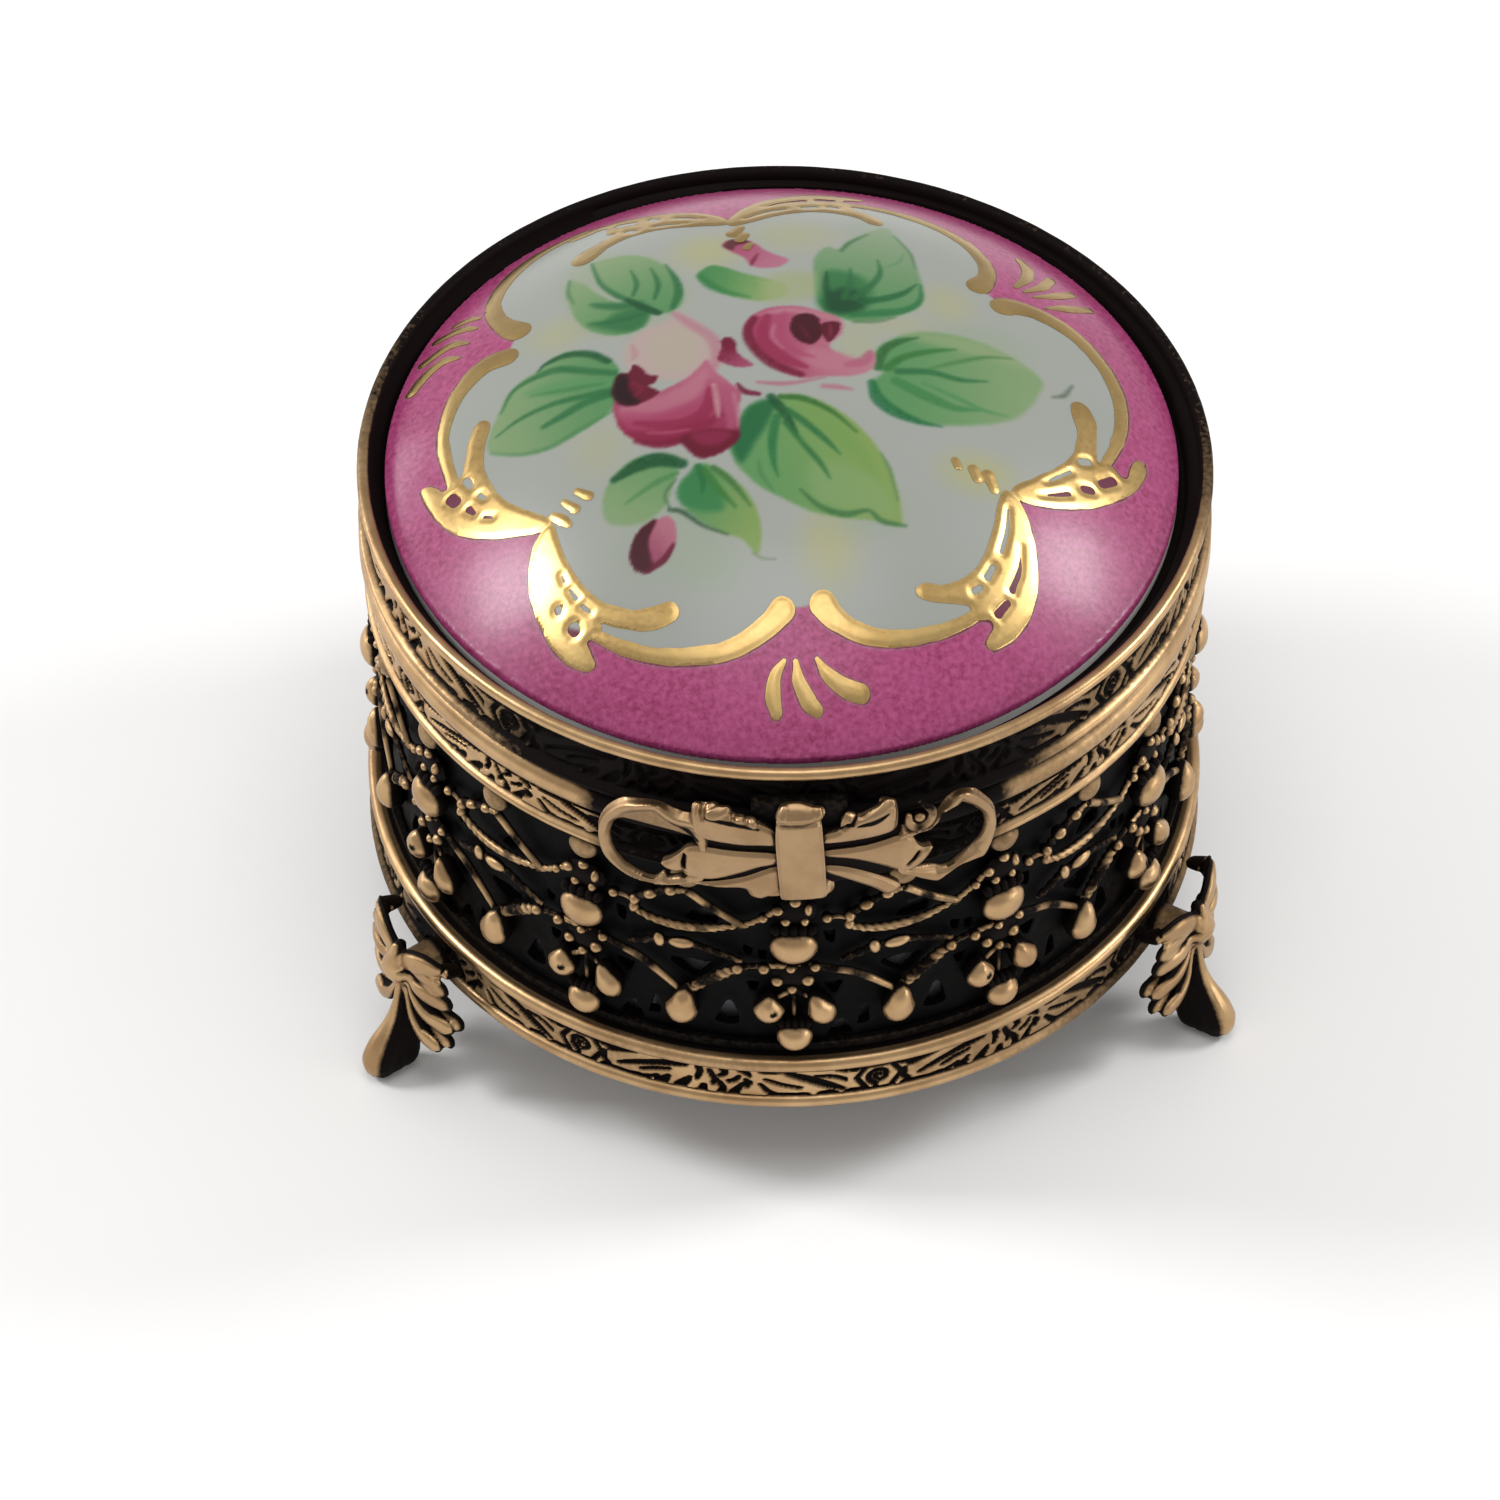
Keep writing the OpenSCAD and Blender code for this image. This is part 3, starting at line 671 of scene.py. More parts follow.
def pierced_wall():
    step = UNIT_MM / 60
    rows = int((WALL_HIGH - WALL_LOW) / step) + 1
    x, y = np.meshgrid(np.arange(60) * step - UNIT_MM / 2, np.linspace(WALL_LOW, WALL_HIGH, rows))
    metal = np.full(x.shape, 5.0)
    for outline in WINDOWS:
        for shift in (-UNIT_MM, 0, UNIT_MM):
            metal = np.minimum(metal, -polygon_field(x - shift, y, outline))
    bulge = 0.22 * (value_noise(x, y, 1.7, 21) - 0.5)
    bulge = bulge * smoothstep(0, 1.5, np.minimum(x - x.min(), x.max() - x)) - 0.02
    rim = 0.10 * smoothstep(0.5, 0.0, np.abs(metal - 0.25)) * (metal < 2)
    # All units side by side, and the first column once more to close the ring.
    metal, relief, y = (np.tile(k, (1, UNITS)) for k in (metal, bulge + rim, y))
    metal, relief, y = (np.hstack([k, k[:, :1]]) for k in (metal, relief, y))
    x = np.tile(np.arange(60 * UNITS + 1) * step, (rows, 1))
    pile = Pile()
    sheet(pile, x, y, metal, relief - 0.12, np.full(x.shape, -0.8), on_wall(FRONT - UNIT / 2 - 180),
          mark=np.where(metal < 0.25, 0.25, 1.0), wrap=True)
    pile.piece("filigree_wall_pierced", "jar", "blackened_brass", blackened, ("filigree_wall",))


pierced_wall()


# ---- Ornaments of the wall -------------------------------------------------------

def bead(pile, place, x, y, rx=.45, ry=None, n=.55, tilt=0.0):
    blob(pile, place, x, y, n, rx, ry or rx, (rx + (ry or rx)) / 2 + .1, tilt, rings=6, sides=10,
         mark=lambda u, v, t: smoothstep(0.26, 0.44, t))


def drop_shape(point):
    """Scales a ball into a drop that narrows towards +y."""
    def shape(t, phi):
        up = np.clip(np.sin(phi), 0, 1)
        return 1 + point * up ** 3 - 0.10 * up * np.abs(np.cos(phi)) * 4
    return shape


def drop(pile, place, x, y, rx, ry, tilt=0.0, n=.75, point=.25, pit=None):
    def mark(u, v, t):
        m = smoothstep(0.30, 0.46, t)
        if pit:
            m = np.maximum(m, smoothstep(.34, .14, np.hypot((u - pit[0]) / 1.3, v - pit[1])) * (t < .5))
        return m
    blob(pile, place, x, y, n, rx, ry, rx * .95, tilt, rings=12, sides=20, shape=drop_shape(point), mark=mark)


def bud(pile, place, x, y, rx, ry):
    """A round bud cut off by its dark calyx."""
    blob(pile, place, x, y, .8, rx, ry, 1.25, 0, rings=12, sides=24,
         shape=lambda t, phi: 1 - 0.10 * np.clip(np.sin(phi), 0, 1) ** 2,
         mark=lambda u, v, t: np.maximum(smoothstep(ry * .66, ry * .84, v), smoothstep(.32, .46, t)))
    for k in range(5):
        u = (k - 2) * rx * .36
        blob(pile, place, x + u, y + ry * .98, .95, rx * .22, ry * .28, .5, -u * 14, rings=6, sides=8,
             mark=lambda a, b, t: np.full(a.shape, .92))


garland, lattice, pods, buds, flowers, drops = (Pile() for _ in range(6))
for i in range(UNITS):
    here = on_wall(FRONT + i * UNIT)
    # Upper garland: a smooth wire on the left, a beaded one on the right.
    wire(garland, here, [(-8.2, 22.7, .7, .34), (-6.5, 21.2, .62, .30), (-4.4, 19.7, .62, .30),
                         (-4.15, 19.4, .6, .42)])
    wire(garland, here, [(8.0, 22.6, .6, .26), (6.5, 22.2, .6, .26), (5.1, 21.4, .6, .28),
                         (3.9, 20.5, .6, .28),
                         (3.8, 19.2, .6, .28)], twist=.9)
    bead(garland, here, 5.1, 21.45, .62, .40, tilt=24)
    bead(garland, here, 6.7, 22.3, .55, .40, tilt=18)
    bead(garland, here, 3.85, 20.4, .44, .50)
    bead(garland, here, 3.8, 19.55, .42, .52)
    bead(garland, here, 2.15, 20.35, .44, .38)
    wire(garland, here, [(2.1, 20.3, .5, .22), (3.0, 20.3, .5, .2), (3.8, 20.0, .5, .2)])
    wire(garland, here, [(-4.2, 19.4, .6, .28), (-3.3, 19.9, .55, .24), (-2.4, 20.6, .55, .26),
                         (-1.6, 21.3, .6, .26)],
         twist=.9)
    wire(garland, here, [(3.8, 19.3, .6, .26), (5.2, 18.75, .6, .30), (7.2, 18.55, .6, .34),
                         (9.4, 18.75, .6, .30),
                         (10.9, 19.2, .6, .26), (11.75, 19.5, .6, .26)], twist=.7)
    # Lower lattice: arches between the clusters, and the wires that hold the drops.
    wire(lattice, here, [(3.3, 15.4, .45, .22), (4.4, 15.9, .5, .26), (5.6, 16.4, .5, .28),
                         (8.2, 16.6, .5, .26),
                         (10.2, 16.0, .5, .24), (11.9, 15.2, .45, .2)], twist=.6)
    blob(lattice, here, 5.75, 16.6, .62, .44, .72, .42, 8, rings=8, sides=12)
    blob(lattice, here, 7.45, 16.7, .62, 1.05, .52, .42, 6, rings=8, sides=14)
    wire(lattice, here, [(.9, 15.2, .55, .24), (2.3, 14.7, .6, .28), (4.0, 14.15, .62, .31),
                         (5.4, 13.2, .62, .31),
                         (6.6, 12.1, .6, .28), (7.45, 11.3, .6, .26)])
    wire(lattice, here, [(-7.95, 11.7, .6, .30), (-7.1, 12.7, .62, .42), (-5.9, 13.7, .62, .44),
                         (-4.8, 14.5, .6, .34)],
         twist=.8)
    wire(lattice, here, [(-4.8, 14.6, .5, .24), (-3.4, 14.9, .5, .22), (-1.8, 15.0, .5, .24),
                         (0.2, 15.0, .5, .24)],
         twist=.9)
    # Flowers of beads above the bud and above the drops.
    for x, y, rx, ry in ((-.2, 22.4, .48, .38), (-1.5, 21.5, .50, .40), (.75, 21.6, .34, .62),
                         (-.9, 20.3, .42, .40),
                         (.5, 20.3, .36, .44), (-2.55, 20.6, .40, .36)):
        bead(flowers, here, x, y, rx, ry, n=.7)
    blob(flowers, here, -.2, 21.1, .5, 1.7, 1.3, .5, rings=6, sides=12, mark=lambda u, v,
         t: np.full(u.shape, .95))
    for x, y, rx, ry in ((-4.45, 14.8, .46, .46), (-2.5, 14.95, .46, .44), (-1.5, 13.65, .48, .46),
                         (.75, 13.75, .52, .52), (-.4, 12.75, .40, .42), (1.3, 15.1, .42, .36),
                         (-.5, 15.0, .40, .34)):
        bead(flowers, here, x, y, rx, ry, n=.7)
    blob(flowers, here, -.3, 14.1, .45, 1.6, 1.3, .5, rings=6, sides=12, mark=lambda u, v,
         t: np.full(u.shape, .95))
    bud(buds, here, -.3, 17.8, 1.84, 1.80)
    # Hanging drops: a pitted one, a pointed one, a lower bud and the single drop.
    drop(drops, here, -2.1, 10.7, 1.22, 1.42, 0, point=.05, pit=(.35, .15))
    drop(drops, here, 1.75, 10.5, 1.12, 1.55, 22, point=.22)
    bud(drops, here, -.2, 7.75, 1.38, 1.45)
    drop(drops, here, 7.55, 9.85, 1.30, 1.62, -8, point=.42)
    wire(drops, here, [(7.75, 11.2, .6, .34), (7.95, 12.0, .6, .26)])
    wire(drops, here, [(-.3, 12.4, .5, .22), (-1.4, 11.6, .55, .2)])
    wire(drops, here, [(-.3, 12.4, .5, .22), (.7, 11.7, .55, .2)])
    wire(drops, here, [(-.3, 12.4, .5, .2), (-.25, 9.3, .5, .2)])
    # Small shell-like leaves under the collar.
    for x in (0.0, UNIT_MM / 2):
        blob(pods, here, x - .2, WALL_HIGH - 1.15, .45, 1.32, 1.2, 1.05, 0, rings=10, sides=20,
             shape=lambda t, phi: 1 + .16 * np.clip(-np.sin(phi), 0, 1) ** 4,
             mark=lambda u, v, t: np.maximum(smoothstep(.20, .42, t), .38))

garland.piece("garland_rope", "jar", "antique_brass", brass, ("garland_wires",))
lattice.piece("lattice_rope", "jar", "antique_brass", brass, ("lattice_wires",))
pods.piece("leaf_pods_shaped", "jar", "antique_brass", brass, ("leaf_pods",))
buds.piece("rose_buds_shaped", "jar", "antique_brass", brass, ("rose_buds",))
flowers.piece("florets_beaded", "jar", "antique_brass", brass, ("florets",))
drops.piece("berry_drops_shaped", "jar", "antique_brass", brass, ("berry_drops",))


# ---- Porcelain dome and its painting ----------------------------------------------

DOME_EDGE = -1.0
DOME_POWER = 2.6
RIM = BEZEL_HIGH
DOME_SHIFT = np.array([-0.25, 0.1])


def dome_height(x, y):
    """Height of the porcelain's face, from the base band's underside."""
    r = np.minimum(np.hypot(x, y), DOME_R)
    return DOME_TOP - (DOME_TOP - RIM - DOME_EDGE) * (r / DOME_R) ** DOME_POWER


def on_dome(x, y, lift):
    """Lid plan coordinates and a height off the glaze, to points."""
    return np.stack([x + DOME_SHIFT[0], y + DOME_SHIFT[1], dome_height(x, y) + lift], -1)


# The gold lobes' middle lines, as x, y, half width, and the white field inside them.
LOBES = [
    [(-14.4, -20.3, .30), (-12, -21.75, .45), (-10, -22.6, .5), (-8, -23.0, .56), (-5.5, -23.1, .62),
     (-3.5, -22.6, .68), (-1.9, -21.7, .80), (-.85, -20.8, .90), (-.6, -20.55, .92)],
    [(2.35, -20.15, .98), (3.0, -20.9, .88), (4.3, -21.75, .72), (6, -22.2, .62), (8, -22.1, .56),
     (10, -21.6, .5),
     (12, -20.75, .45), (13.6, -19.7, .38)],
    [(23.75, -4.7, .35), (24.7, -2.4, .42), (25.3, .3, .52), (25.3, 2.8, .58), (24.6, 5.4, .62),
     (23.1, 7.8, .68),
     (21.2, 9.3, .78), (19.2, 9.95, .85), (17.4, 9.85, .98), (16.9, 9.5, 1.02)],
    [(15.1, 11.6, .92), (15.7, 12.9, .72), (15.9, 14.6, .62), (15.4, 16.6, .60), (14.4, 18.6, .58),
     (12.9, 20.3, .56), (10.8, 21.8, .54), (8.2, 22.9, .50), (5.4, 23.4, .46)],
    [(-14.2, 23.2, .42), (-16.2, 22.3, .50), (-18.2, 20.9, .58), (-19.9, 18.6, .62), (-20.9, 16.2, .62),
     (-21.3, 13.8, .62), (-20.9, 11.6, .66), (-20.1, 10.0, .84), (-19.4, 9.0, .98)],
    [(-20.4, 6.2, .95), (-21.7, 6.3, 1.0), (-23.0, 5.5, .84), (-24.2, 3.9, .66), (-24.9, 1.9, .54),
     (-25.2, -.2, .46),
     (-24.95, -2.4, .42), (-24.5, -4.6, .40)],
]
SHELLS = [
    # Left front, upper and lower crescent.
    [(-26.9, -3.9), (-26.5, -5.4), (-25.8, -7.0), (-24.6, -8.8), (-23.1, -10.1), (-21.2, -11.0),
     (-19.4, -11.5),
     (-18.1, -11.7), (-17.3, -11.3), (-17.6, -10.7), (-18.6, -10.0), (-20.0, -8.8), (-21.2, -7.2),
     (-21.9, -5.5),
     (-22.2, -4.0), (-22.1, -2.5), (-21.8, -1.2), (-21.7, -.3), (-22.2, .15), (-22.8, -.2), (-23.3, -1.5),
     (-23.5, -3.0), (-23.75, -4.3), (-24.3, -4.6), (-24.8, -4.9), (-25.3, -4.95), (-25.6, -4.5),
     (-26.3, -3.8)],
    [(-18.1, -11.9), (-18.8, -13.2), (-19.05, -15.0), (-18.8, -17.0), (-18.1, -19.0), (-17.2, -20.7),
     (-16.0, -21.9),
     (-14.9, -22.5), (-14.3, -22.3), (-14.6, -21.4), (-14.9, -20.75), (-14.6, -20.5), (-13.8, -20.1),
     (-13.9, -19.6), (-12.6, -20.25), (-11.0, -20.85), (-9.4, -20.9), (-8.3, -20.5), (-8.1, -19.8),
     (-8.7, -19.2),
     (-9.8, -19.3), (-11.2, -19.4), (-12.5, -18.9), (-13.8, -18.1), (-15.0, -16.8), (-16.0, -15.0),
     (-16.7, -13.0),
     (-17.1, -11.5), (-17.6, -11.4)],
    # Right front, upper and lower crescent.
    [(17.4, -10.35), (19.0, -10.3), (21.0, -9.75), (23.0, -8.7), (25.0, -7.0), (26.3, -5.2), (26.95, -3.6),
     (26.9, -2.7), (26.3, -2.8), (25.8, -3.7), (25.5, -4.9), (25.0, -5.1), (24.5, -4.6), (23.9, -4.2),
     (23.3, -4.5),
     (23.2, -3.0), (23.35, -1.2), (23.0, .2), (22.2, .75), (21.5, .3), (21.5, -.9), (21.8, -2.2),
     (21.75, -3.4),
     (21.3, -4.9), (20.2, -6.4), (18.5, -7.9), (17.0, -9.1), (16.6, -9.8)],
    [(17.1, -10.3), (17.9, -12.4), (18.3, -15.0), (18.1, -17.4), (17.3, -19.5), (16.1, -20.9), (14.8, -21.8),
     (14.2, -21.5), (14.8, -20.4), (14.6, -19.9), (14.0, -20.0), (13.3, -20.1), (13.2, -19.5), (12.9, -19.2),
     (11.6, -19.3), (10.2, -19.4), (9.4, -19.2), (9.2, -18.6), (9.9, -18.1), (11.2, -18.1), (12.3, -17.6),
     (13.4, -16.7), (14.4, -15.2), (15.1, -13.0), (15.5, -11.0), (16.1, -9.7)],
]
PIERCINGS = [
    [(-24.6, -6.0, .42), (-24.3, -6.45, .42)], [(-23.5, -4.95, .30), (-23.2, -5.6, .26)],
    [(-22.5, -6.8, .22), (-22.2, -7.2, .18)], [(-23.3, -7.6, .26), (-22.95, -8.1, .2)],
    [(-22.2, -8.8, .12), (-21.6, -9.1, .08)],
    [(-16.9, -17.9, .26), (-16.85, -18.0, .26)], [(-15.8, -19.5, .42), (-15.7, -19.7, .36)],
    [(-16.0, -16.8, .10), (-15.6, -17.5, .16)], [(-15.1, -18.2, .16), (-14.6, -18.7, .14)],
    [(-16.6, -15.5, .05), (-16.4, -16.1, .08)],
    [(22.0, -5.2, .32), (22.5, -5.0, .28)], [(23.5, -6.5, .34), (24.3, -5.8, .38)],
    [(22.1, -7.6, .32), (22.6, -7.5, .30)], [(19.2, -8.1, .06), (20.2, -7.3, .14), (21.1, -6.5, .16)],
    [(18.8, -9.35, .05), (19.9, -8.95, .15), (20.9, -8.5, .17)],
    [(16.25, -11.3, .05), (16.1, -13.0, .12), (15.6, -14.8, .16)],
    [(17.1, -14.0, .06), (16.9, -15.8, .14), (16.3, -17.4, .26)], [(14.9, -16.1, .24), (14.5, -16.9, .26)],
    [(13.9, -17.8, .26), (13.5, -18.1, .26)], [(15.9, -18.4, .26), (15.2, -19.3, .30)],
]
CHAIN = [
    [(-17.1, -10.8, .30), (-16.5, -11.3, .42), (-16.0, -11.8, .25)],
    [(-16.3, -9.9, .26), (-15.5, -10.7, .36)], [(-15.3, -9.3, .28), (-14.5, -9.9, .38)],
    [(15.3, -9.9, .34), (14.9, -8.8, .50)], [(14.1, -9.2, .42), (13.8, -8.5, .42)],
    [(12.7, -8.5, .28), (12.5, -8.0, .30)],
]
FANS = [
    [(-.6, -23.9, .18), (-1.25, -24.8, .42), (-1.45, -26.0, .56), (-1.25, -27.0, .42)],
    [(.25, -24.0, .22), (.45, -25.2, .45), (1.05, -26.3, .60), (1.7, -26.9, .42)],
    [(1.8, -23.8, .20), (2.5, -24.7, .45), (3.8, -25.5, .62), (5.0, -25.8, .62)],
    [(-22.3, 13.3, .12), (-23.2, 13.9, .34), (-24.2, 14.0, .26)],
    [(-22.6, 11.9, .14), (-23.9, 12.9, .42), (-25.6, 13.0, .34)],
    [(-23.2, 10.3, .14), (-24.6, 11.2, .46), (-26.6, 10.6, .42)],
    [(-23.9, 8.8, .14), (-25.2, 9.4, .44), (-26.6, 8.6, .55), (-27.5, 7.5, .50)],
    [(18.0, 13.0, .14), (18.9, 15.0, .40), (19.1, 17.0, .46), (18.6, 18.5, .34)],
    [(18.6, 12.6, .12), (20.1, 14.5, .36), (20.9, 16.6, .36)],
    [(19.3, 12.3, .12), (21.2, 13.9, .38), (22.4, 15.4, .34)],
    [(20.3, 11.3, .14), (21.9, 12.4, .42), (23.7, 13.9, .34)],
]
BACK_SHELL_TURN = 131.0


def turned(points, degrees):
    p = np.array(points, float)
    c, s = math.cos(math.radians(degrees)), math.sin(math.radians(degrees))
    p[:, :2] = p[:, :2] @ np.array([[c, s], [-s, c]])
    return p


# The third shell is at the back, where the pattern repeats by a third of a turn.
SHELLS += [turned(s, BACK_SHELL_TURN) for s in SHELLS[2:4]]
PIERCINGS += [turned(s, BACK_SHELL_TURN) for s in PIERCINGS[10:]]
CHAIN += [turned(s, BACK_SHELL_TURN) for s in CHAIN[3:]]

FIELD = np.vstack([curve(np.array(lobe)[:, :2], 6) for lobe in (LOBES[0], LOBES[1])]
                  + [[(15.8, -18.2), (17.0, -14.0), (17.0, -10.2), (20.5, -8.0), (23.4, -5.0)]]
                  + [curve(np.array(lobe)[:, :2], 6) for lobe in (LOBES[2], LOBES[3])]
                  + [[(1.5, 22.0), (-1.8, 20.8), (-3.6, 19.6), (-6.0, 20.9), (-10.0, 23.2)]]
                  + [curve(np.array(lobe)[:, :2], 6) for lobe in (LOBES[4], LOBES[5])]
                  + [[(-23.2, -7.0), (-21.0, -10.0), (-17.6, -11.4), (-18.0, -15.0), (-16.8, -19.0)]])


# Every painted stroke is darkened by this much, in linear colour.
TONE = np.array([.72, .67, .62])


class Canvas:
    """A painting: colours on scattered plan points, laid down stroke by stroke."""

    def __init__(self, x, y, ground):
        self.x, self.y = x, y
        self.rgb = np.tile(np.array(ground, float), (len(x), 1))
        self.hair = value_noise(x, y, .18, 31)

    def lay(self, where, field, colour, soft, strength=1.0):
        cover = smoothstep(-soft, soft, field) * strength
        colour = np.atleast_2d(np.asarray(colour, float)) * TONE
        self.rgb[where] += (colour / 255.0 - self.rgb[where]) * cover[:, None]

    def near(self, points, reach):
        p = np.array(points, float)
        low, high = p[:, :2].min(0) - reach, p[:, :2].max(0) + reach
        return np.nonzero((self.x > low[0]) & (self.x < high[0]) & (self.y > low[1]) & (self.y < high[1]))[0]

    def shape(self, outline, colour, soft=.16, strength=1.0, smooth=True):
        """A filled outline; colour is one RGB or (from, to, direction in degrees)."""
        path = curve(outline, 5, closed=True) if smooth else np.array(outline, float)
        at = self.near(path, soft + .3)
        x, y = self.x[at], self.y[at]
        field = polygon_field(x, y, path) + .10 * (self.hair[at] - .5)
        if len(colour) == 3 and isinstance(colour[0], tuple):
            a = math.radians(colour[2])
            run = x * math.cos(a) + y * math.sin(a)
            span = path[:, 0] * math.cos(a) + path[:, 1] * math.sin(a)
            t = smoothstep(span.min(), span.max(), run + .8 * (self.hair[at] - .5))[:, None]
            colour = np.array(colour[0]) * (1 - t) + np.array(colour[1]) * t
        self.lay(at, field, colour, soft, strength)

    def brush(self, path, colour, soft=.14, strength=1.0, streak=.25):
        """A stroke of x, y, half width that thins out in hairs along its length."""
        path = curve(path, 6)
        at = self.near(path, path[:, 2].max() + soft + .2)
        field = stroke_field(self.x[at], self.y[at], path)
        self.lay(at, field, colour, soft, strength * (1 - streak + streak * self.hair[at]))


LEAF_LIGHT, LEAF_MID, LEAF_DARK, LEAF_DEEP = (158, 205, 156), (104, 182, 122), (38, 132, 74), (12, 92, 48)
LEAF_LIME, LEAF_PALE = (156, 204, 118), (182, 212, 178)
ROSE_MID = (196, 78, 136)
ROSE_RED, ROSE_DARK, ROSE_HEART = (166, 34, 90), (122, 6, 48), (78, 0, 26)


def paint_leaves(c):
    c.shape([(-15.9, 12), (-15.2, 14.3), (-13.9, 17), (-12, 16.4), (-9, 14.6), (-7, 10.5), (-7.4, 7),
             (-11, 5), (-15, 6.5)],
            LEAF_PALE, .9, .35)
    c.shape([(-9.8, 8), (-9.9, 6.1), (-11, 5.4), (-12.5, 5.4), (-14, 6.4), (-15, 8), (-15.5, 10), (-15.8, 12),
             (-15.5, 13.9), (-14.4, 12.8), (-13.7, 11.4), (-12.3, 9.6)], (LEAF_MID, LEAF_LIGHT, 135), .2)
    c.shape([(-9.6, 7.7), (-11.6, 9.6), (-13.0, 11.8), (-13.9, 15.4), (-12.5, 16.0), (-10.8, 15.7),
             (-9.3, 14.5), (-8, 12.6),
             (-7.3, 10.5), (-7.1, 8.5), (-7.8, 7.2), (-8.9, 7.1)], (LEAF_MID, LEAF_LIGHT, 110), .22)
    c.shape([(-9.7, 8.3), (-9.9, 6.2), (-11.2, 5.5), (-13.0, 6.3), (-14.2, 7.3), (-13.0, 7.4), (-12.0, 8.0)],
            LEAF_DARK, .45, .75)
    c.shape([(-10.0, 8.9), (-12.0, 9.2), (-14.0, 9.9), (-13.4, 9.0), (-11.5, 8.2)], LEAF_DARK, .3, .8)
    for path, colour in (
            ([(-9.3, 7.4, .30), (-10.6, 8.8, .30), (-12.0, 10.2, .28), (-13.2, 12.4, .20),
              (-13.8, 15.8, .08)], LEAF_DARK),
            ([(-9.0, 7.2, .32), (-10.2, 8.2, .34), (-11.2, 9.3, .22)], LEAF_DEEP),
            ([(-7.9, 7.6, .22), (-7.4, 9.4, .34), (-7.6, 11.2, .26), (-8.3, 13.4, .06)], LEAF_DARK),
            ([(-9.2, 9.0, .14), (-8.9, 10.8, .22), (-9.4, 13.2, .06)], LEAF_DARK),
            ([(-10.8, 9.8, .14), (-10.5, 11.3, .20), (-10.9, 13.4, .05)], LEAF_DARK),
            ([(-15.2, 10.4, .08), (-15.6, 12.0, .16), (-15.5, 14.0, .10)], (90, 160, 110)),
            ([(-10.0, 7.3, .2), (-12.0, 7.0, .25), (-13.9, 7.2, .06)], LEAF_DARK)):
        c.brush(path, colour, .16, .9)

    c.shape([(-12.0, 1.5), (-12.8, 2.9), (-14, 3.9), (-15.6, 4.6), (-17, 4.35), (-17.9, 3.5), (-19.2, 2.9),
             (-20.3, 1.9),
             (-20.9, .5), (-21.5, -1.0), (-21.9, -2.6), (-21.4, -3.6), (-20, -4.3), (-18.5, -4.8),
             (-17, -4.7), (-15, -4.0),
             (-13, -2.8), (-12.0, -1.0)], (LEAF_LIGHT, LEAF_MID, 0), .2)
    c.shape([(-12.2, .4), (-14.0, 1.0), (-17, 1.6), (-19, 1.3), (-17, .4), (-14, -.1)], (96, 186, 122), .5,
            .6)
    for path, colour in (
            ([(-12.8, 2.6, .30), (-14.2, 3.8, .36), (-15.8, 4.25, .30), (-17.4, 3.9, .18), (-18.0, 3.3, .06)],
             LEAF_DEEP),
            ([(-12.4, 1.2, .3), (-14.2, 1.9, .34), (-16.6, 2.9, .36), (-18.8, 2.6, .24), (-20.0, 1.9, .16),
              (-20.8, .2, .06)],
             LEAF_DARK),
            ([(-12.0, -.5, .30), (-14.5, -.6, .30), (-17.0, -.6, .24), (-19.4, -1.1, .18),
              (-21.2, -2.0, .06)], LEAF_DARK),
            ([(-12.6, -.9, .3), (-14.6, -1.3, .36), (-16.2, -2.0, .34), (-17.7, -2.6, .2)], LEAF_DARK),
            ([(-12.5, -2.6, .10), (-14.8, -3.7, .24), (-17.2, -4.7, .22), (-19.5, -4.5, .14),
              (-21.6, -3.4, .05)],
             (90, 168, 108)),
            ([(-13.2, .3, .12), (-16.0, .5, .2), (-18.6, .9, .05)], (72, 160, 98))):
        c.brush(path, colour, .2, .85)

    c.shape([(-7.8, -8.2), (-8.5, -7.6), (-10, -7.3), (-11.5, -7.7), (-12.7, -8.8), (-13.4, -10.2),
             (-13.4, -12),
             (-12.5, -12.8), (-10.5, -13), (-9, -12), (-8.4, -10.5)], (LEAF_LIGHT, (120, 192, 130), 60), .25)
    c.brush([(-7.6, -8.5, .42), (-9.2, -7.9, .62), (-10.8, -8.1, .58), (-12.6, -9.0, .26)], LEAF_DEEP, .22,
            .95)
    c.brush([(-8.0, -9.3, .2), (-9.6, -9.9, .24), (-11.8, -11.2, .07)], (80, 165, 100), .2, .8)
    c.brush([(-8.1, -9.8, .12), (-8.9, -11.0, .14), (-8.6, -12.2, .12)], (96, 150, 110), .14, .8)
    c.shape([(-6.6, -8.6), (-5.2, -9), (-4, -10), (-2.8, -11.6), (-2.1, -13.5), (-2.0, -15.5), (-2.4, -16.5),
             (-3.4, -15.2),
             (-5.0, -14.6), (-6.7, -13.2), (-7.9, -11.6), (-7.9, -10.3), (-7, -9.4)],
             (LEAF_MID, LEAF_LIME, -20), .2)
    c.shape([(-6.4, -8.9), (-7.9, -10.6), (-7.6, -12.0), (-6.0, -12.8), (-4.6, -12.6), (-5.2, -10.6)],
            (44, 152, 88), .4, .75)
    for path, colour in (
            ([(-6.4, -8.9, .26), (-6.1, -10.2, .24), (-6.2, -11.2, .1)], LEAF_DARK),
            ([(-6.0, -9.2, .26), (-5.0, -11.0, .30), (-3.8, -12.6, .12)], (60, 150, 62)),
            ([(-5.3, -9.1, .24), (-4.0, -10.5, .24), (-2.7, -12.6, .08)], (70, 140, 70)),
            ([(-8.6, -12.3, .16), (-7.7, -12.6, .2), (-6.2, -13.9, .14), (-4.4, -14.8, .06)], (40, 96, 62)),
            ([(-2.6, -16.4, .07), (-1.9, -16.8, .08), (-1.0, -16.9, .04)], (130, 165, 135))):
        c.brush(path, colour, .16, .9)

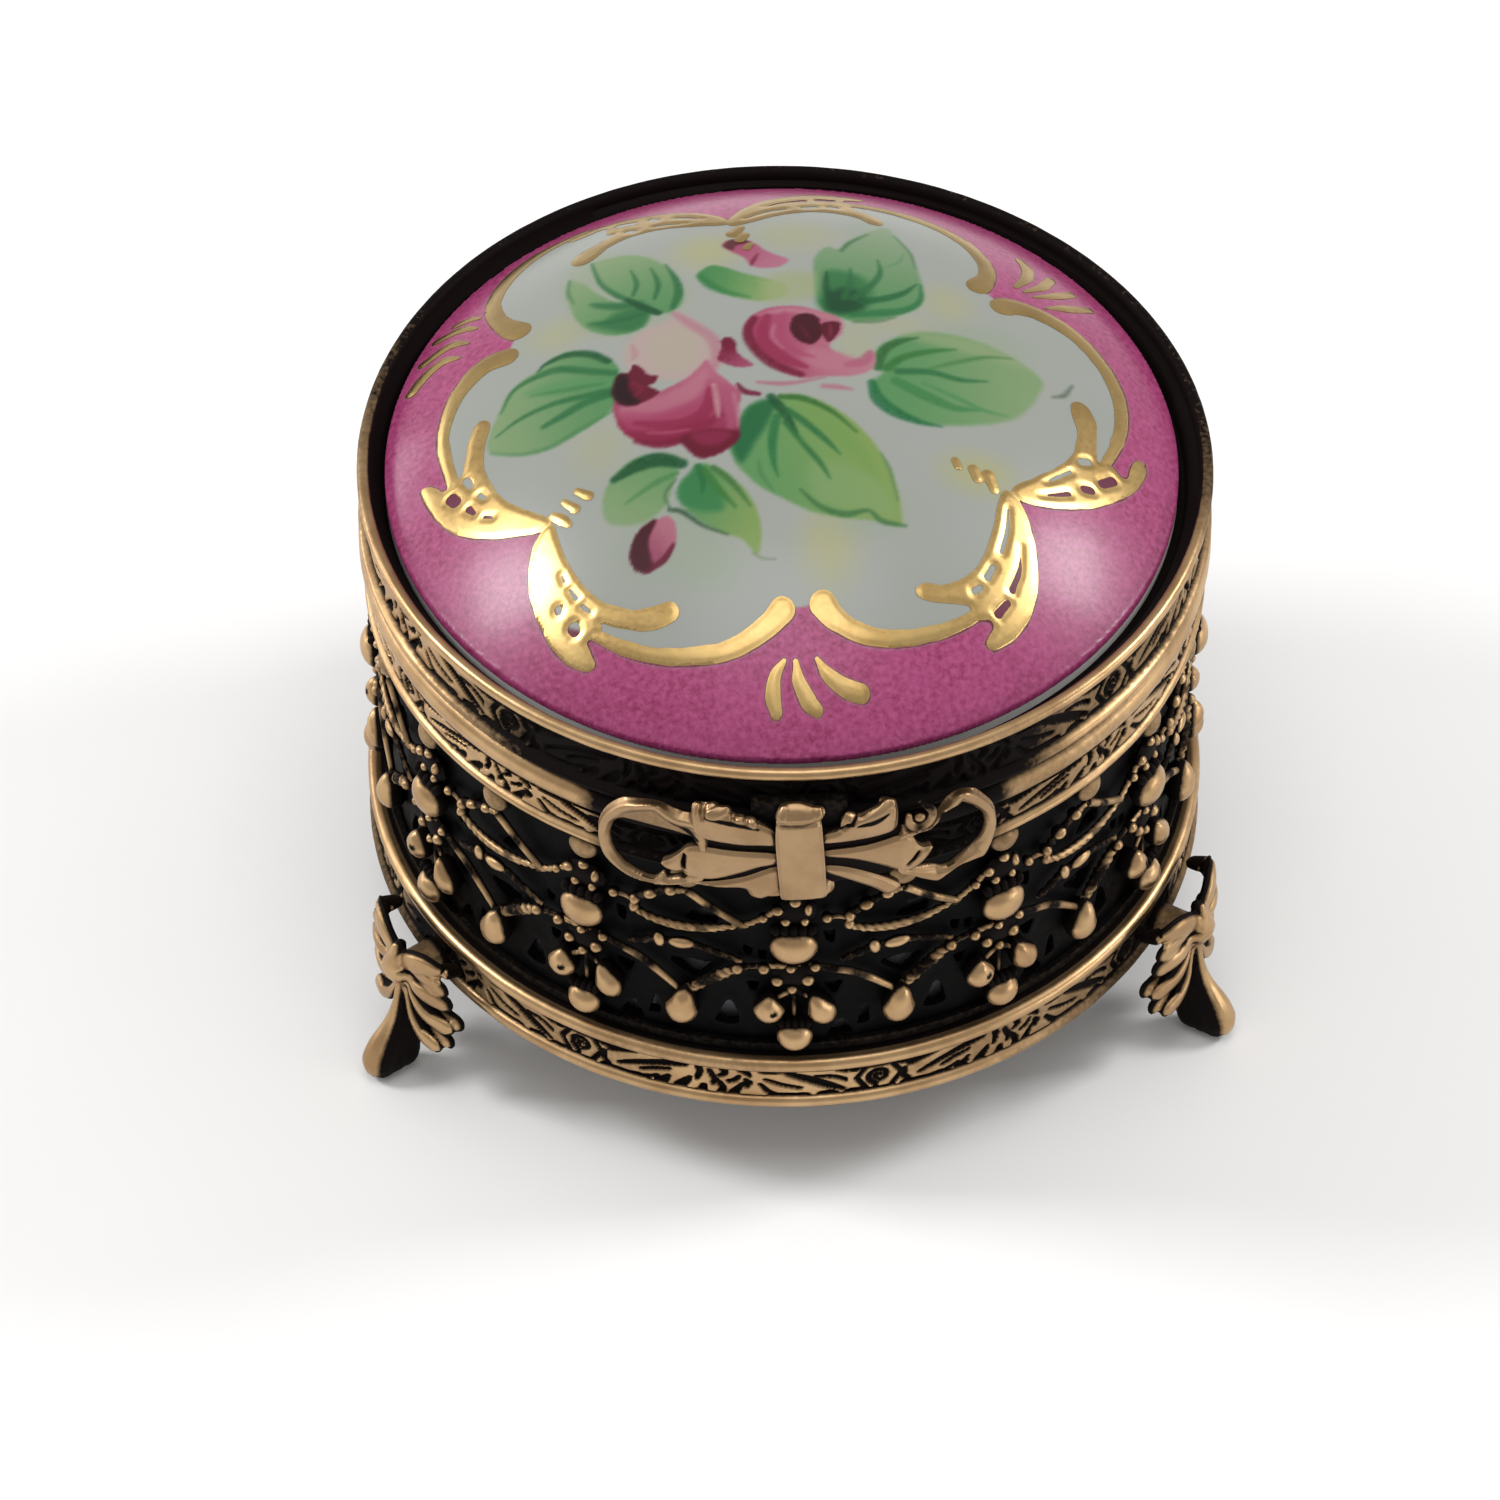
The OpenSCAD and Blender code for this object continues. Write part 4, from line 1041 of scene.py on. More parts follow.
    c.shape([(-.6, -2.8), (-2.2, -3.2), (-3.2, -4.5), (-3.95, -6.5), (-3.8, -8.5), (-2.8, -10.1),
             (-1.6, -11.3), (.2, -12.4),
             (2.0, -13.3), (4.5, -13.7), (6.5, -13.8), (8.2, -14.1), (8.3, -12.6), (8.1, -11), (7.5, -9),
             (6.5, -7),
             (5.2, -5.2), (3.5, -3.6), (1.8, -2.6), (.5, -2.35)], ((112, 190, 124), LEAF_LIME, 10), .22)
    c.shape([(.5, -3.0), (2.4, -3.6), (4.6, -5.6), (6.0, -8.0), (6.8, -10.5), (5.0, -8.5), (2.6, -6.0)],
            (134, 198, 108), .6, .6)
    c.shape([(2, -9), (5, -9.5), (7.2, -11), (7.6, -13.4), (4, -13), (2, -12)], (158, 210, 150), .8, .6)
    c.shape([(-.6, -2.9), (-2.4, -3.4), (-3.4, -5.2), (-3.9, -7.4), (-3.2, -8.8), (-2.2, -7.0), (-1.2, -5.2)],
            (26, 126, 74), .4, .9)
    for path, colour in (
            ([(-.9, -2.6, .34), (-.2, -3.8, .40), (.5, -5.3, .26), (.9, -6.2, .1)], LEAF_DEEP),
            ([(.3, -4.0, .28), (1.6, -5.3, .30), (3.0, -6.9, .24), (4.0, -8.2, .06)], LEAF_DARK),
            ([(.1, -5.2, .24), (1.3, -7.2, .22), (2.5, -9.0, .22), (3.2, -10.4, .06)], (44, 134, 70)),
            ([(-.5, -4.6, .3), (-.9, -6.6, .36), (-.9, -8.8, .22), (-.6, -10.2, .05)], (34, 140, 80)),
            ([(-2.0, -8.8, .10), (-1.8, -10.0, .16), (-1.0, -11.4, .05)], (84, 166, 104)),
            ([(-.2, -2.6, .24), (1.6, -2.9, .28), (3.6, -4.2, .20), (5.3, -6.1, .08)], (52, 128, 52)),
            ([(7.0, -8.0, .06), (7.6, -9.4, .14), (8.1, -12.0, .06)], (104, 168, 110)),
            ([(1.0, -11.4, .10), (2.4, -12.8, .22), (4.2, -13.4, .26), (5.9, -13.0, .14), (6.9, -13.8, .22),
              (8.6, -14.0, .10)],
             (58, 136, 74))):
        c.brush(path, colour, .18, .9)

    c.shape([(6.9, .6), (7.0, 2), (8, 3.3), (10, 4.4), (12.5, 4.7), (15, 4.3), (17.5, 3.3), (19.4, 1.8),
             (19.1, .2),
             (18.3, -1.5), (17, -3.1), (14.5, -4.3), (11.5, -4.9), (9.5, -4.7), (8, -3.9), (6.8, -2.4),
             (6.5, -1.2),
             (7.4, -.2)], ((104, 186, 122), LEAF_LIGHT, 0), .3)
    c.shape([(9, 4), (12, 4.7), (15.5, 4.1), (18.5, 2.6), (16, 2.6), (12, 3.2)], (176, 212, 166), .6, .7)
    for path, colour in (
            ([(7.1, .4, .34), (7.6, 2.2, .38), (8.8, 3.3, .30), (10.2, 3.9, .08)], (42, 118, 56)),
            ([(7.8, .4, .36), (9.0, 1.6, .32), (11.0, 2.5, .26), (13.0, 3.1, .07)], (46, 140, 60)),
            ([(8.6, .1, .34), (11.0, .3, .30), (13.2, -.1, .24), (15.2, .2, .07)], LEAF_DARK),
            ([(11.0, .7, .12), (13.0, 1.7, .20), (15.2, 2.8, .18), (17.2, 3.3, .06)], (84, 160, 92)),
            ([(6.6, -1.2, .32), (7.0, -2.8, .52), (8.2, -4.0, .50), (10.0, -4.8, .26), (11.6, -5.0, .08)],
             (20, 128, 70)),
            ([(8.4, -.9, .42), (10.4, -2.1, .50), (12.6, -3.0, .34), (14.4, -2.9, .1)], (66, 160, 92)),
            ([(10.4, -.9, .12), (12.6, -1.9, .22), (14.8, -2.8, .18), (16.6, -2.9, .05)], (86, 176, 112)),
            ([(20.1, .3, .07), (21.0, .9, .17), (21.7, 2.3, .08)], (92, 122, 104))):
        c.brush(path, colour, .2, .85)

    c.shape([(3.2, 6.7), (2.8, 8.5), (2.7, 11), (2.9, 13.2), (3.8, 14.7), (4.8, 14.5), (5.6, 16), (7, 17.5),
             (8.4, 18.8),
             (9.2, 17.2), (10, 15.3), (10.5, 13), (10.8, 10.5), (10.9, 8.8), (10.3, 7.3), (8.8, 6.2),
             (7.2, 5.5), (5.5, 5.3),
             (4, 6.0)], (LEAF_MID, (164, 206, 172), 80), .22)
    c.shape([(3.2, 6.6), (2.9, 9), (3.6, 11.2), (4.8, 11.4), (6.4, 10.6), (7.0, 8.8), (6.6, 7.0), (5.2, 6.0)],
            (40, 140, 76), .6, .8)
    c.shape([(3.6, 6.5), (3.6, 8.3), (5.0, 9.3), (6.2, 8.6), (6.3, 7.0), (5.0, 6.2)], (8, 84, 46), .5, .9)
    for path, colour in (
            ([(4.2, 7.0, .30), (3.6, 9.0, .30), (3.7, 11.2, .08)], LEAF_DEEP),
            ([(4.9, 8.0, .30), (5.4, 9.8, .28), (5.5, 11.8, .06)], LEAF_DARK),
            ([(5.6, 8.0, .34), (6.9, 9.6, .30), (7.7, 11.4, .22), (7.6, 13.2, .05)], LEAF_DARK),
            ([(6.2, 7.6, .34), (8.0, 8.2, .36), (9.4, 9.1, .26), (10.4, 10.4, .06)], (20, 120, 62)),
            ([(5.4, 6.0, .26), (7.4, 6.4, .40), (9.2, 6.9, .32), (10.5, 8.2, .22), (10.7, 10.4, .08)],
             (42, 144, 82)),
            ([(5.6, 5.3, .2), (7.2, 5.4, .2), (8.6, 6.0, .1)], (120, 168, 130)),
            ([(4.9, 14.2, .14), (5.5, 15.4, .20), (7.0, 17.2, .07)], (70, 138, 88)),
            ([(9.0, 17.4, .08), (10.1, 14.8, .14), (10.4, 12.6, .06)], (92, 156, 112)),
            ([(8.2, 12.4, .07), (9.2, 13.2, .12), (9.6, 14.6, .04)], (110, 178, 130))):
        c.brush(path, colour, .18, .9)

    c.shape([(-5.9, 11.6), (-5, 12.5), (-4, 12.2), (-2.5, 11.2), (-.6, 10.3), (.6, 9.6), (.4, 8.2),
             (-1.0, 7.7), (-2.0, 7.8),
             (-3.5, 8.4), (-5, 9.6), (-5.9, 10.8)], ((76, 172, 98), (170, 212, 142), -20), .22)
    c.shape([(-.8, 10.4), (1.0, 11.2), (2.9, 10.8), (2.9, 8.4), (1.0, 7.6), (-1.0, 7.8)], (188, 216, 168), .8,
            .7)
    c.brush([(-5.7, 11.2, .24), (-5.0, 9.9, .40), (-3.8, 8.9, .26), (-2.2, 8.2, .08)], (44, 150, 78), .3, .8)


def paint_roses(c):
    c.shape([(-11.2, 1.2), (-11.6, 3.4), (-10.4, 5.2), (-8.2, 6.2), (-7.4, 7.0), (-5.0, 4.0), (-4.6, 1.4),
             (-5.6, -.4),
             (-9.6, 0.0)], (222, 208, 216), .5, .85)
    c.shape([(-9.8, 3.6), (-8.6, 5.2), (-6.6, 4.8), (-5.9, 2.4), (-7.2, .6), (-9.0, .9)], (214, 216, 210), .6,
            .8)
    c.brush([(-7.8, 6.9, .25), (-6.5, 5.4, .42), (-5.1, 3.8, .46), (-4.7, 2.0, .5), (-5.2, .2, .3)],
            (212, 150, 182), .3, .8)
    c.brush([(-11.0, 3.9, .10), (-10.8, 2.8, .22), (-11.0, 2.3, .08)], (214, 158, 180), .22, .7)

    body = [(-12.3, -1.5), (-12.3, -3.8), (-11.4, -5.4), (-9.8, -6.5), (-8.2, -6.7), (-7.3, -6.4),
            (-7.0, -7.2), (-6, -8),
            (-4.8, -7.8), (-3.6, -6.8), (-3.3, -5.8), (-3.4, -4.0), (-3.1, -2.2), (-3.9, -1.0), (-5.0, .3),
            (-5.5, 1.5),
            (-6.2, .6), (-7.2, -.4), (-8.6, -1.2), (-10, -1.8)]
    c.shape(body, (ROSE_RED, (214, 128, 172), 75), .18)
    c.shape([(-12.0, -2.2), (-9.6, -1.9), (-7.4, -.9), (-5.6, .6), (-5.4, -1.2), (-6.6, -2.8), (-9.2, -3.8),
             (-11.8, -3.6)],
            (220, 148, 184), .5, .8)
    c.shape([(-11.8, -3.0), (-9.4, -3.4), (-6.4, -2.4), (-5.4, -.6), (-5.1, -2.6), (-6.6, -4.4), (-9.4, -5.0),
             (-11.5, -4.6)],
            (198, 84, 140), .45, .75)
    for path, colour in (
            ([(-10.9, -4.2, .22), (-9.0, -4.7, .40), (-7.0, -4.7, .55), (-5.7, -3.6, .50), (-5.3, -1.6, .30)],
             ROSE_RED),
            ([(-11.6, -5.0, .16), (-9.8, -5.6, .36), (-7.6, -5.6, .50), (-5.8, -5.0, .45), (-4.6, -4.2, .2)],
             (160, 28, 84)),
            ([(-10.9, -5.9, .22), (-9.2, -6.5, .36), (-7.6, -6.3, .36), (-6.9, -6.0, .2)], (136, 10, 60)),
            ([(-10.0, -5.3, .10), (-8.4, -5.5, .14), (-7.0, -5.4, .06)], (214, 110, 160)),
            ([(-5.1, -1.2, .18), (-4.9, -2.8, .24), (-4.8, -4.4, .12)], (232, 190, 208)),
            ([(-4.2, -1.6, .26), (-4.0, -3.6, .34), (-3.9, -5.4, .28)], (202, 104, 154)),
            ([(-3.6, -2.2, .16), (-3.4, -4.0, .2), (-3.4, -5.4, .1)], (222, 150, 186))):
        c.brush(path, colour, .2, .85)
    c.shape([(-7.7, -6.1), (-7.2, -7.2), (-6.3, -8.15), (-5, -7.95), (-3.6, -6.95), (-3.3, -6.0),
             (-4.2, -5.7), (-5.4, -5.5),
             (-6.6, -5.7)], ROSE_DARK, .2)
    c.shape([(-6.9, -5.9), (-6.1, -6.9), (-4.8, -7.0), (-3.9, -6.1), (-5.2, -5.6)], (166, 40, 96), .35, .8)
    c.shape([(-12.4, .1), (-12.0, .95), (-11.3, 1.0), (-10.9, 1.75), (-10.3, 1.2), (-9.9, .5), (-9.2, .2),
             (-9.4, -.4),
             (-9.9, -.7), (-9.1, -1.4), (-9.8, -2.0), (-10.8, -2.45), (-11.8, -2.25), (-12.5, -1.2)],
             (120, 10, 52), .14)
    c.shape([(-12.4, .1), (-12.0, .9), (-11.4, .6), (-11.3, -.8), (-10.6, -2.2), (-11.8, -2.2),
             (-12.5, -1.2)], (40, 0, 10), .3)
    c.brush([(-11.0, -.2, .2), (-10.4, -.9, .22), (-10.9, -1.5, .1)], (150, 30, 72), .2, .7)

    c.shape([(-2.7, 4.6), (-2.1, 5.9), (-.8, 6.8), (1.2, 7.0), (3, 6.4), (4.5, 5.6), (4.6, 4.0), (3.6, 2.6),
             (4.6, 1.6),
             (6.0, 1.1), (6.9, 1.9), (6.8, .4), (5.4, -.5), (3, -.6), (1.6, -.75), (.2, -.2), (-1.2, 1.2),
             (-2.3, 2.8)],
            (ROSE_MID, (220, 156, 188), 0), .2)
    c.shape([(-1.8, 6.0), (.4, 6.9), (3.0, 6.3), (4.4, 5.4), (3.2, 5.6), (1.0, 6.2)], (224, 160, 190), .3, .8)
    c.shape([(2.2, 2.4), (4.0, 1.9), (5.8, .9), (4.6, 0.0), (2.6, .2), (1.6, 1.2)], (222, 150, 184), .5, .8)
    for path, colour in (
            ([(-1.9, 5.7, .30), (-2.35, 4.6, .36), (-2.3, 3.4, .42), (-1.6, 1.9, .42), (-.4, .6, .44),
              (1.4, -.4, .28)], ROSE_DARK),
            ([(-.9, 5.9, .3), (-1.3, 4.2, .50), (-.9, 2.6, .60), (.4, 1.2, .50), (1.8, .4, .2)],
             (172, 40, 98)),
            ([(.4, 6.2, .2), (-.1, 4.6, .42), (.1, 3.2, .40), (1.2, 2.0, .30), (2.4, 1.4, .1)],
             (200, 88, 142)),
            ([(-.4, 4.9, .10), (-.6, 3.6, .16), (0.1, 2.4, .08)], (224, 146, 182)),
            ([(4.9, .6, .3), (6.0, 1.0, .46), (6.6, 1.9, .3)], (206, 116, 160)),
            ([(3.0, -1.6, .2), (4.0, -1.7, .24), (5.1, -1.9, .1)], (212, 132, 168)),
            ([(-1.8, -1.1, .12), (0.0, -1.3, .2), (1.6, -1.1, .12), (3.2, -.7, .06)], (206, 118, 158))):
        c.brush(path, colour, .22, .88)
    c.shape([(.8, 5.0), (1.2, 5.9), (2.2, 6.15), (2.9, 5.6), (3.0, 4.9), (3.25, 4.2), (2.8, 3.2), (2.2, 2.75),
             (1.3, 3.2),
             (.8, 4.1)], ROSE_HEART, .13)
    c.shape([(3.1, 4.9), (3.8, 5.25), (4.45, 5.1), (4.35, 4.2), (3.9, 3.3), (3.5, 3.05), (3.1, 3.9)],
            (104, 4, 40), .12)
    c.brush([(3.7, 4.9, .08), (3.75, 4.0, .16), (3.6, 3.4, .06)], (166, 50, 92), .14, .7)
    c.brush([(1.5, 4.8, .1), (1.9, 4.0, .2), (2.1, 3.4, .1)], (120, 16, 50), .2, .7)

    c.shape([(-4.35, 3.5), (-3.8, 3.75), (-3.35, 3.2), (-3.2, 2.0), (-2.3, 1.0), (-2.2, .6), (-3.2, .5),
             (-4.2, 1.0), (-4.7, 1.5),
             (-4.4, 2.5)], ((190, 92, 140), (128, 6, 54), 120), .16)
    c.brush([(-3.3, -1.2, .12), (-2.8, -2.0, .26), (-1.8, -2.3, .2)], (126, 12, 58), .14)

    c.shape([(-3.95, 15.2), (-3.5, 16), (-2.6, 16.1), (-1.6, 15.4), (-.8, 14.2), (.2, 13.4), (.9, 12.8),
             (.2, 11.9), (-1.2, 11.8),
             (-2, 12.3), (-2.4, 13.3), (-3.3, 14.2)], ((214, 140, 184), ROSE_MID, 130), .2)
    c.shape([(-3.9, 15.2), (-3.5, 16.0), (-2.6, 16.1), (-1.9, 15.5), (-2.9, 15.2), (-3.3, 14.5)],
            (104, 0, 36), .22)
    c.brush([(-1.4, 13.7, .10), (-1.7, 12.9, .2), (-1.9, 12.2, .08)], (150, 24, 78), .16)
    c.shape([(-9.4, -12.9), (-10.5, -13.3), (-11.3, -14.3), (-11.6, -15.5), (-11.2, -16.5), (-10.4, -16.9),
             (-9.6, -16.6),
             (-8.7, -15.9), (-8.2, -14.9), (-8.2, -13.6), (-8.7, -12.8)],
             ((176, 74, 124), (214, 140, 176), 45), .15)
    c.shape([(-9.6, -12.95), (-10.6, -13.35), (-11.35, -14.3), (-11.6, -15.5), (-11.2, -16.5), (-10.4, -16.9),
             (-9.9, -16.6),
             (-10.1, -15.6), (-10.2, -14.4)], (78, 0, 26), .18)
    c.brush([(-10.2, -16.7, .2), (-9.1, -16.1, .26), (-8.4, -15.1, .14)], (112, 0, 48), .14)


def painting(x, y):
    """RGB of the painted dome at plan points, and where the pink enamel lies."""
    c = Canvas(x, y, (0.555, 0.570, 0.540))
    cloud = value_noise(x, y, 3.2, 41)[:, None]
    c.rgb += (np.array([0.565, 0.575, 0.555]) - c.rgb) * cloud
    for px, py, rx, ry, strength in ((-5.2, 14.6, 3.4, 3.4, .75), (-16.5, 7.0, 3.0, 2.6, .5),
                                     (12.6, 8.4, 2.6, 3.0, .55),
                                     (3.0, -15.8, 2.8, 4.2, .7), (14.2, -8.8, 3.6, 2.4, .8),
                                     (1.5, 16.5, 4.2, 3.2, .5),
                                     (-13.6, -6.0, 3.0, 3.2, .35), (5.6, 3.0, 2.6, 4.0, .35),
                                     (9.0, 5.2, 3.0, 1.6, .4)):
        away = np.hypot((x - px) / rx, (y - py) / ry)
        c.rgb += (np.array([.600, .595, .430]) - c.rgb) * (smoothstep(1.25, .1, away) * strength)[:, None]
    for px, py, rx, ry in ((-14, 14.5, 3.2, 4.6), (-8.5, -14.5, 4.5, 4.0), (-5.6, -17, 3.0, 2.6),
                           (5.5, -12.5, 4, 3.5),
                           (15, 4.5, 5, 2.4), (7.5, 17.5, 2.6, 2.6)):
        away = np.hypot((x - px) / rx, (y - py) / ry)
        c.rgb += (np.array([.510, .565, .480]) - c.rgb) * (smoothstep(1.2, .2, away) * .45)[:, None]
    paint_leaves(c)
    paint_roses(c)
    field = polygon_field(x, y, FIELD)
    enamel = smoothstep(.12, -.12, field)
    # A thin crimson shadow runs outside the gold.
    shadow = np.zeros(len(x))
    for lobe in LOBES:
        path = curve(lobe, 5)
        path[:, 2] += .14
        at = c.near(path, 1.2)
        shadow[at] = np.maximum(shadow[at], smoothstep(-.05, .12, stroke_field(x[at], y[at], path)))
    for path in FANS:
        path = curve(path, 5)
        path[:, 2] += .10
        at = c.near(path, 1.2)
        shadow[at] = np.maximum(shadow[at], smoothstep(-.05, .12, stroke_field(x[at], y[at], path)))
    for outline in SHELLS:
        at = c.near(outline, 1.0)
        shadow[at] = np.maximum(shadow[at], smoothstep(-.22, -.05, polygon_field(x[at], y[at], outline)))
    shade_lines = enamel * shadow
    c.rgb += (np.array([.30, .04, .12]) - c.rgb) * shade_lines[:, None]
    return np.clip(c.rgb, 0, 1), enamel * (1 - .85 * shadow)


def painted_dome():
    step = 0.155
    n = int(DOME_R / step) + 2
    x, y = np.meshgrid(np.arange(-n, n + 1) * step, np.arange(-n, n + 1) * step)
    face = DOME_R - np.hypot(x, y)
    pile = Pile()
    pile_points = []

    def place(px, py, h):
        pile_points.append((px, py))
        return np.stack([px + DOME_SHIFT[0], py + DOME_SHIFT[1], h], -1)

    top = dome_height(x, y)
    sheet(pile, x, y, face, top, top - 0.5, place)
    # The body of the plaque: edge, underside and hollow, turned as rings.
    inner = DOME_R - 2.4
    section = [(DOME_R - .02, RIM + DOME_EDGE - .30), (DOME_R - .02, DOME_LOW)]
    section += [(inner, DOME_LOW)]
    section += [(inner * k, dome_height(inner * k, 0) - 2.4) for k in np.linspace(1, 0.02, 18)]
    section += [(inner * k + .2, dome_height(inner * k, 0) - .62) for k in np.linspace(0.02, 1.06, 18)]
    section = np.array(section)
    cols = 180
    a = np.arange(cols) / cols * 2 * np.pi
    pts = np.stack([section[:, :1] * np.cos(a) + DOME_SHIFT[0], section[:, :1] * np.sin(a) + DOME_SHIFT[1],
                    section[:, 1:] + 0 * a], -1).reshape(-1, 3)
    body = Pile()
    body.add(pts, ring_quads(len(section), cols, True)[:, ::-1])
    body.piece("porcelain_body", "lid", "painted_porcelain", bisque)
    dome = pile.piece("painted_dome", "lid", "painted_porcelain", porcelain, ("porcelain_dome",), sharp=70)
    px = np.concatenate([p[0] for p in pile_points])
    py = np.concatenate([p[1] for p in pile_points])
    rgb, enamel = painting(px, py)
    linear = np.where(rgb <= .04045, rgb / 12.92, ((rgb + .055) / 1.055) ** 2.4)
    colours = dome.data.attributes.new("paint", "FLOAT_COLOR", "POINT")
    colours.data.foreach_set("color", np.column_stack([linear,
                                                       np.ones(len(linear))]).astype(np.float32).ravel())
    share = dome.data.attributes.new("enamel", "FLOAT", "POINT")
    share.data.foreach_set("value", enamel.astype(np.float32))


def gold_scrolls():
    """The raised gold: lobes, shells with their piercings, chains and fans."""
    pile = Pile()
    step = 0.13
    n = int(DOME_R / step) + 1
    x, y = np.meshgrid(np.arange(-n, n + 1) * step, np.arange(-n, n + 1) * step)
    field = np.full(x.shape, -9.0)

    def near(points, reach):
        p = np.array(points, float)
        low, high = p[:, :2].min(0) - reach, p[:, :2].max(0) + reach
        return (x > low[0]) & (x < high[0]) & (y > low[1]) & (y < high[1])

    for path in LOBES + CHAIN + FANS:
        path = curve(path, 6)
        at = near(path, 1.6)
        field[at] = np.maximum(field[at], stroke_field(x[at], y[at], path))
    for outline in SHELLS:
        outline = curve(outline, 4, closed=True)
        at = near(outline, 1.0)
        field[at] = np.maximum(field[at], polygon_field(x[at], y[at], outline))
    for path in PIERCINGS:
        path = curve(path, 5)
        at = near(path, 1.0)
        field[at] = np.minimum(field[at], -stroke_field(x[at], y[at], path))
    uneven = .10 * (value_noise(x, y, .9, 51) - .5)
    field = np.where(field > -2, field + uneven, field)
    thick = .045 + .055 * smoothstep(0, .45, field)
    sheet(pile, x, y, field, thick, np.full(x.shape, -.12), on_dome)
    pile.piece("gold_scrolls", "lid", "painted_porcelain", gilding)


painted_dome()
gold_scrolls()


# ---- Cast feet -----------------------------------------------------------------------

FOOT_ANGLES = {"foot_left": 212.0, "foot_right": 332.0, "foot_rear": 92.0}

# One side of a foot: rows are across, out from the axis, up, half width, half depth.
PETALS = [
    [(.35, 34.5, .9, .25, .45), (.9, 34.7, -.8, .38, .5), (1.6, 34.8, -2.3, .60, .55),
     (2.7, 34.75, -3.3, .82, .55),
     (3.7, 34.5, -3.7, .80, .5)],
    [(.7, 34.5, 1.1, .30, .45), (1.6, 34.7, .1, .50, .5), (2.9, 34.6, -.7, .85, .55),
     (4.5, 34.0, -1.2, .92, .5)],
    [(1.0, 34.6, 1.9, .38, .5), (2.4, 34.8, 1.9, .85, .6), (3.6, 34.5, 1.8, 1.05, .6),
     (4.5, 34.1, 1.6, .95, .5)],
    [(.5, 34.9, 3.2, .80, .5), (1.8, 35.0, 4.3, 1.05, .5), (3.1, 34.6, 4.8, 1.10, .5),
     (4.0, 33.9, 4.6, .95, .45),
     (4.2, 32.8, 4.2, .70, .42)],
    [(2.6, 34.7, 3.5, .9, .42), (4.3, 34.2, 3.1, .9, .42)],
    [(.3, 34.9, 2.2, .8, .7), (1.7, 34.7, 2.3, .55, .6)],
    [(2.9, 33.9, -3.2, .8, .45), (4.2, 33.6, -3.4, .75, .45)],
    [(3.4, 33.6, -.9, .9, .5), (4.9, 33.2, -.9, .85, .45)],
]
SPINE = [
    [(0, 35.0, 4.6, .45, .6), (0, 35.3, 3.4, .85, .8), (0, 35.3, 2.3, 1.45, 1.1), (0, 35.1, 1.4, .9, .9)],
    [(0, 34.6, 1.6, .42, .7), (0, 35.0, -1.6, .48, .8), (0, 35.6, -3.8, .78, 1.0), (0, 36.6, -5.8, 1.25, 1.3),
     (0, 37.1, -7.1, 1.4, 1.4), (0, 37.1, -7.6, 1.35, 1.4)],
    [(0, 34.6, -2.2, .5, .8), (0, 35.3, -5.2, 1.0, 1.2), (0, 36.0, -7.3, 1.3, 1.45),
     (0, 36.4, -7.6, 1.25, 1.35)],
    [(0, 34.2, -2.0, .5, .8), (0, 34.5, -5.2, .95, 1.0), (0, 34.9, -7.4, 1.2, 1.2),
     (0, 35.2, -7.75, 1.15, 1.2)],
    [(0, 31.9, 1.2, 1.7, 1.4), (0, 34.0, 1.2, 1.5, 1.4), (0, 34.4, 1.3, 1.2, 1.2)],
]


def limb(pile, path, sides=12):
    """A round-ended lobe along a path, wide across its path and thin outwards."""
    p = curve(path, 5)
    ahead = np.gradient(p[:, :3], axis=0)
    ahead /= np.maximum(np.linalg.norm(ahead, axis=1), 1e-9)[:, None]
    out = np.array([0.0, 1.0, 0.0]) + 0 * ahead
    steep = np.abs(ahead[:, 1]) > 0.9
    out[steep] = (0, 0, 1)
    wide = np.cross(ahead, out)
    wide /= np.linalg.norm(wide, axis=1)[:, None]
    thick = np.cross(wide, ahead)
    caps = np.sin(np.linspace(0.25, np.pi / 2, 4, endpoint=False))
    reach = np.cos(np.linspace(0.25, np.pi / 2, 4, endpoint=False))
    rows = [(p[0, :3] - ahead[0] * p[0, 3] * c, wide[0] * p[0, 3] * s, thick[0] * p[0, 4] * s) for s,
            c in zip(caps, reach)]
    rows += [(p[i, :3], wide[i] * p[i, 3], thick[i] * p[i, 4]) for i in range(len(p))]
    rows += [(p[-1, :3] + ahead[-1] * p[-1, 3] * c, wide[-1] * p[-1, 3] * s, thick[-1] * p[-1, 4] * s)
             for s, c in zip(caps[::-1], reach[::-1])]
    phi = np.arange(sides) / sides * 2 * np.pi
    pts = np.vstack([c + np.outer(np.cos(phi), w) + np.outer(np.sin(phi), t) for c, w, t in rows])
    n = len(rows)
    k = np.arange(sides)
    kn = (k + 1) % sides
    quads = np.vstack([np.stack([r * sides + k, r * sides + kn, (r + 1) * sides + kn, (r + 1) * sides + k], 1)
                       for r in range(n - 1)])
    tips = np.vstack([pts[:sides].mean(0), pts[-sides:].mean(0)])
    tris = np.vstack([np.stack([0 * k + n * sides, kn, k], 1),
                      np.stack([0 * k + n * sides + 1, (n - 1) * sides + k, (n - 1) * sides + kn], 1)])
    pile.add(np.vstack([pts, tips]), quads, tris)


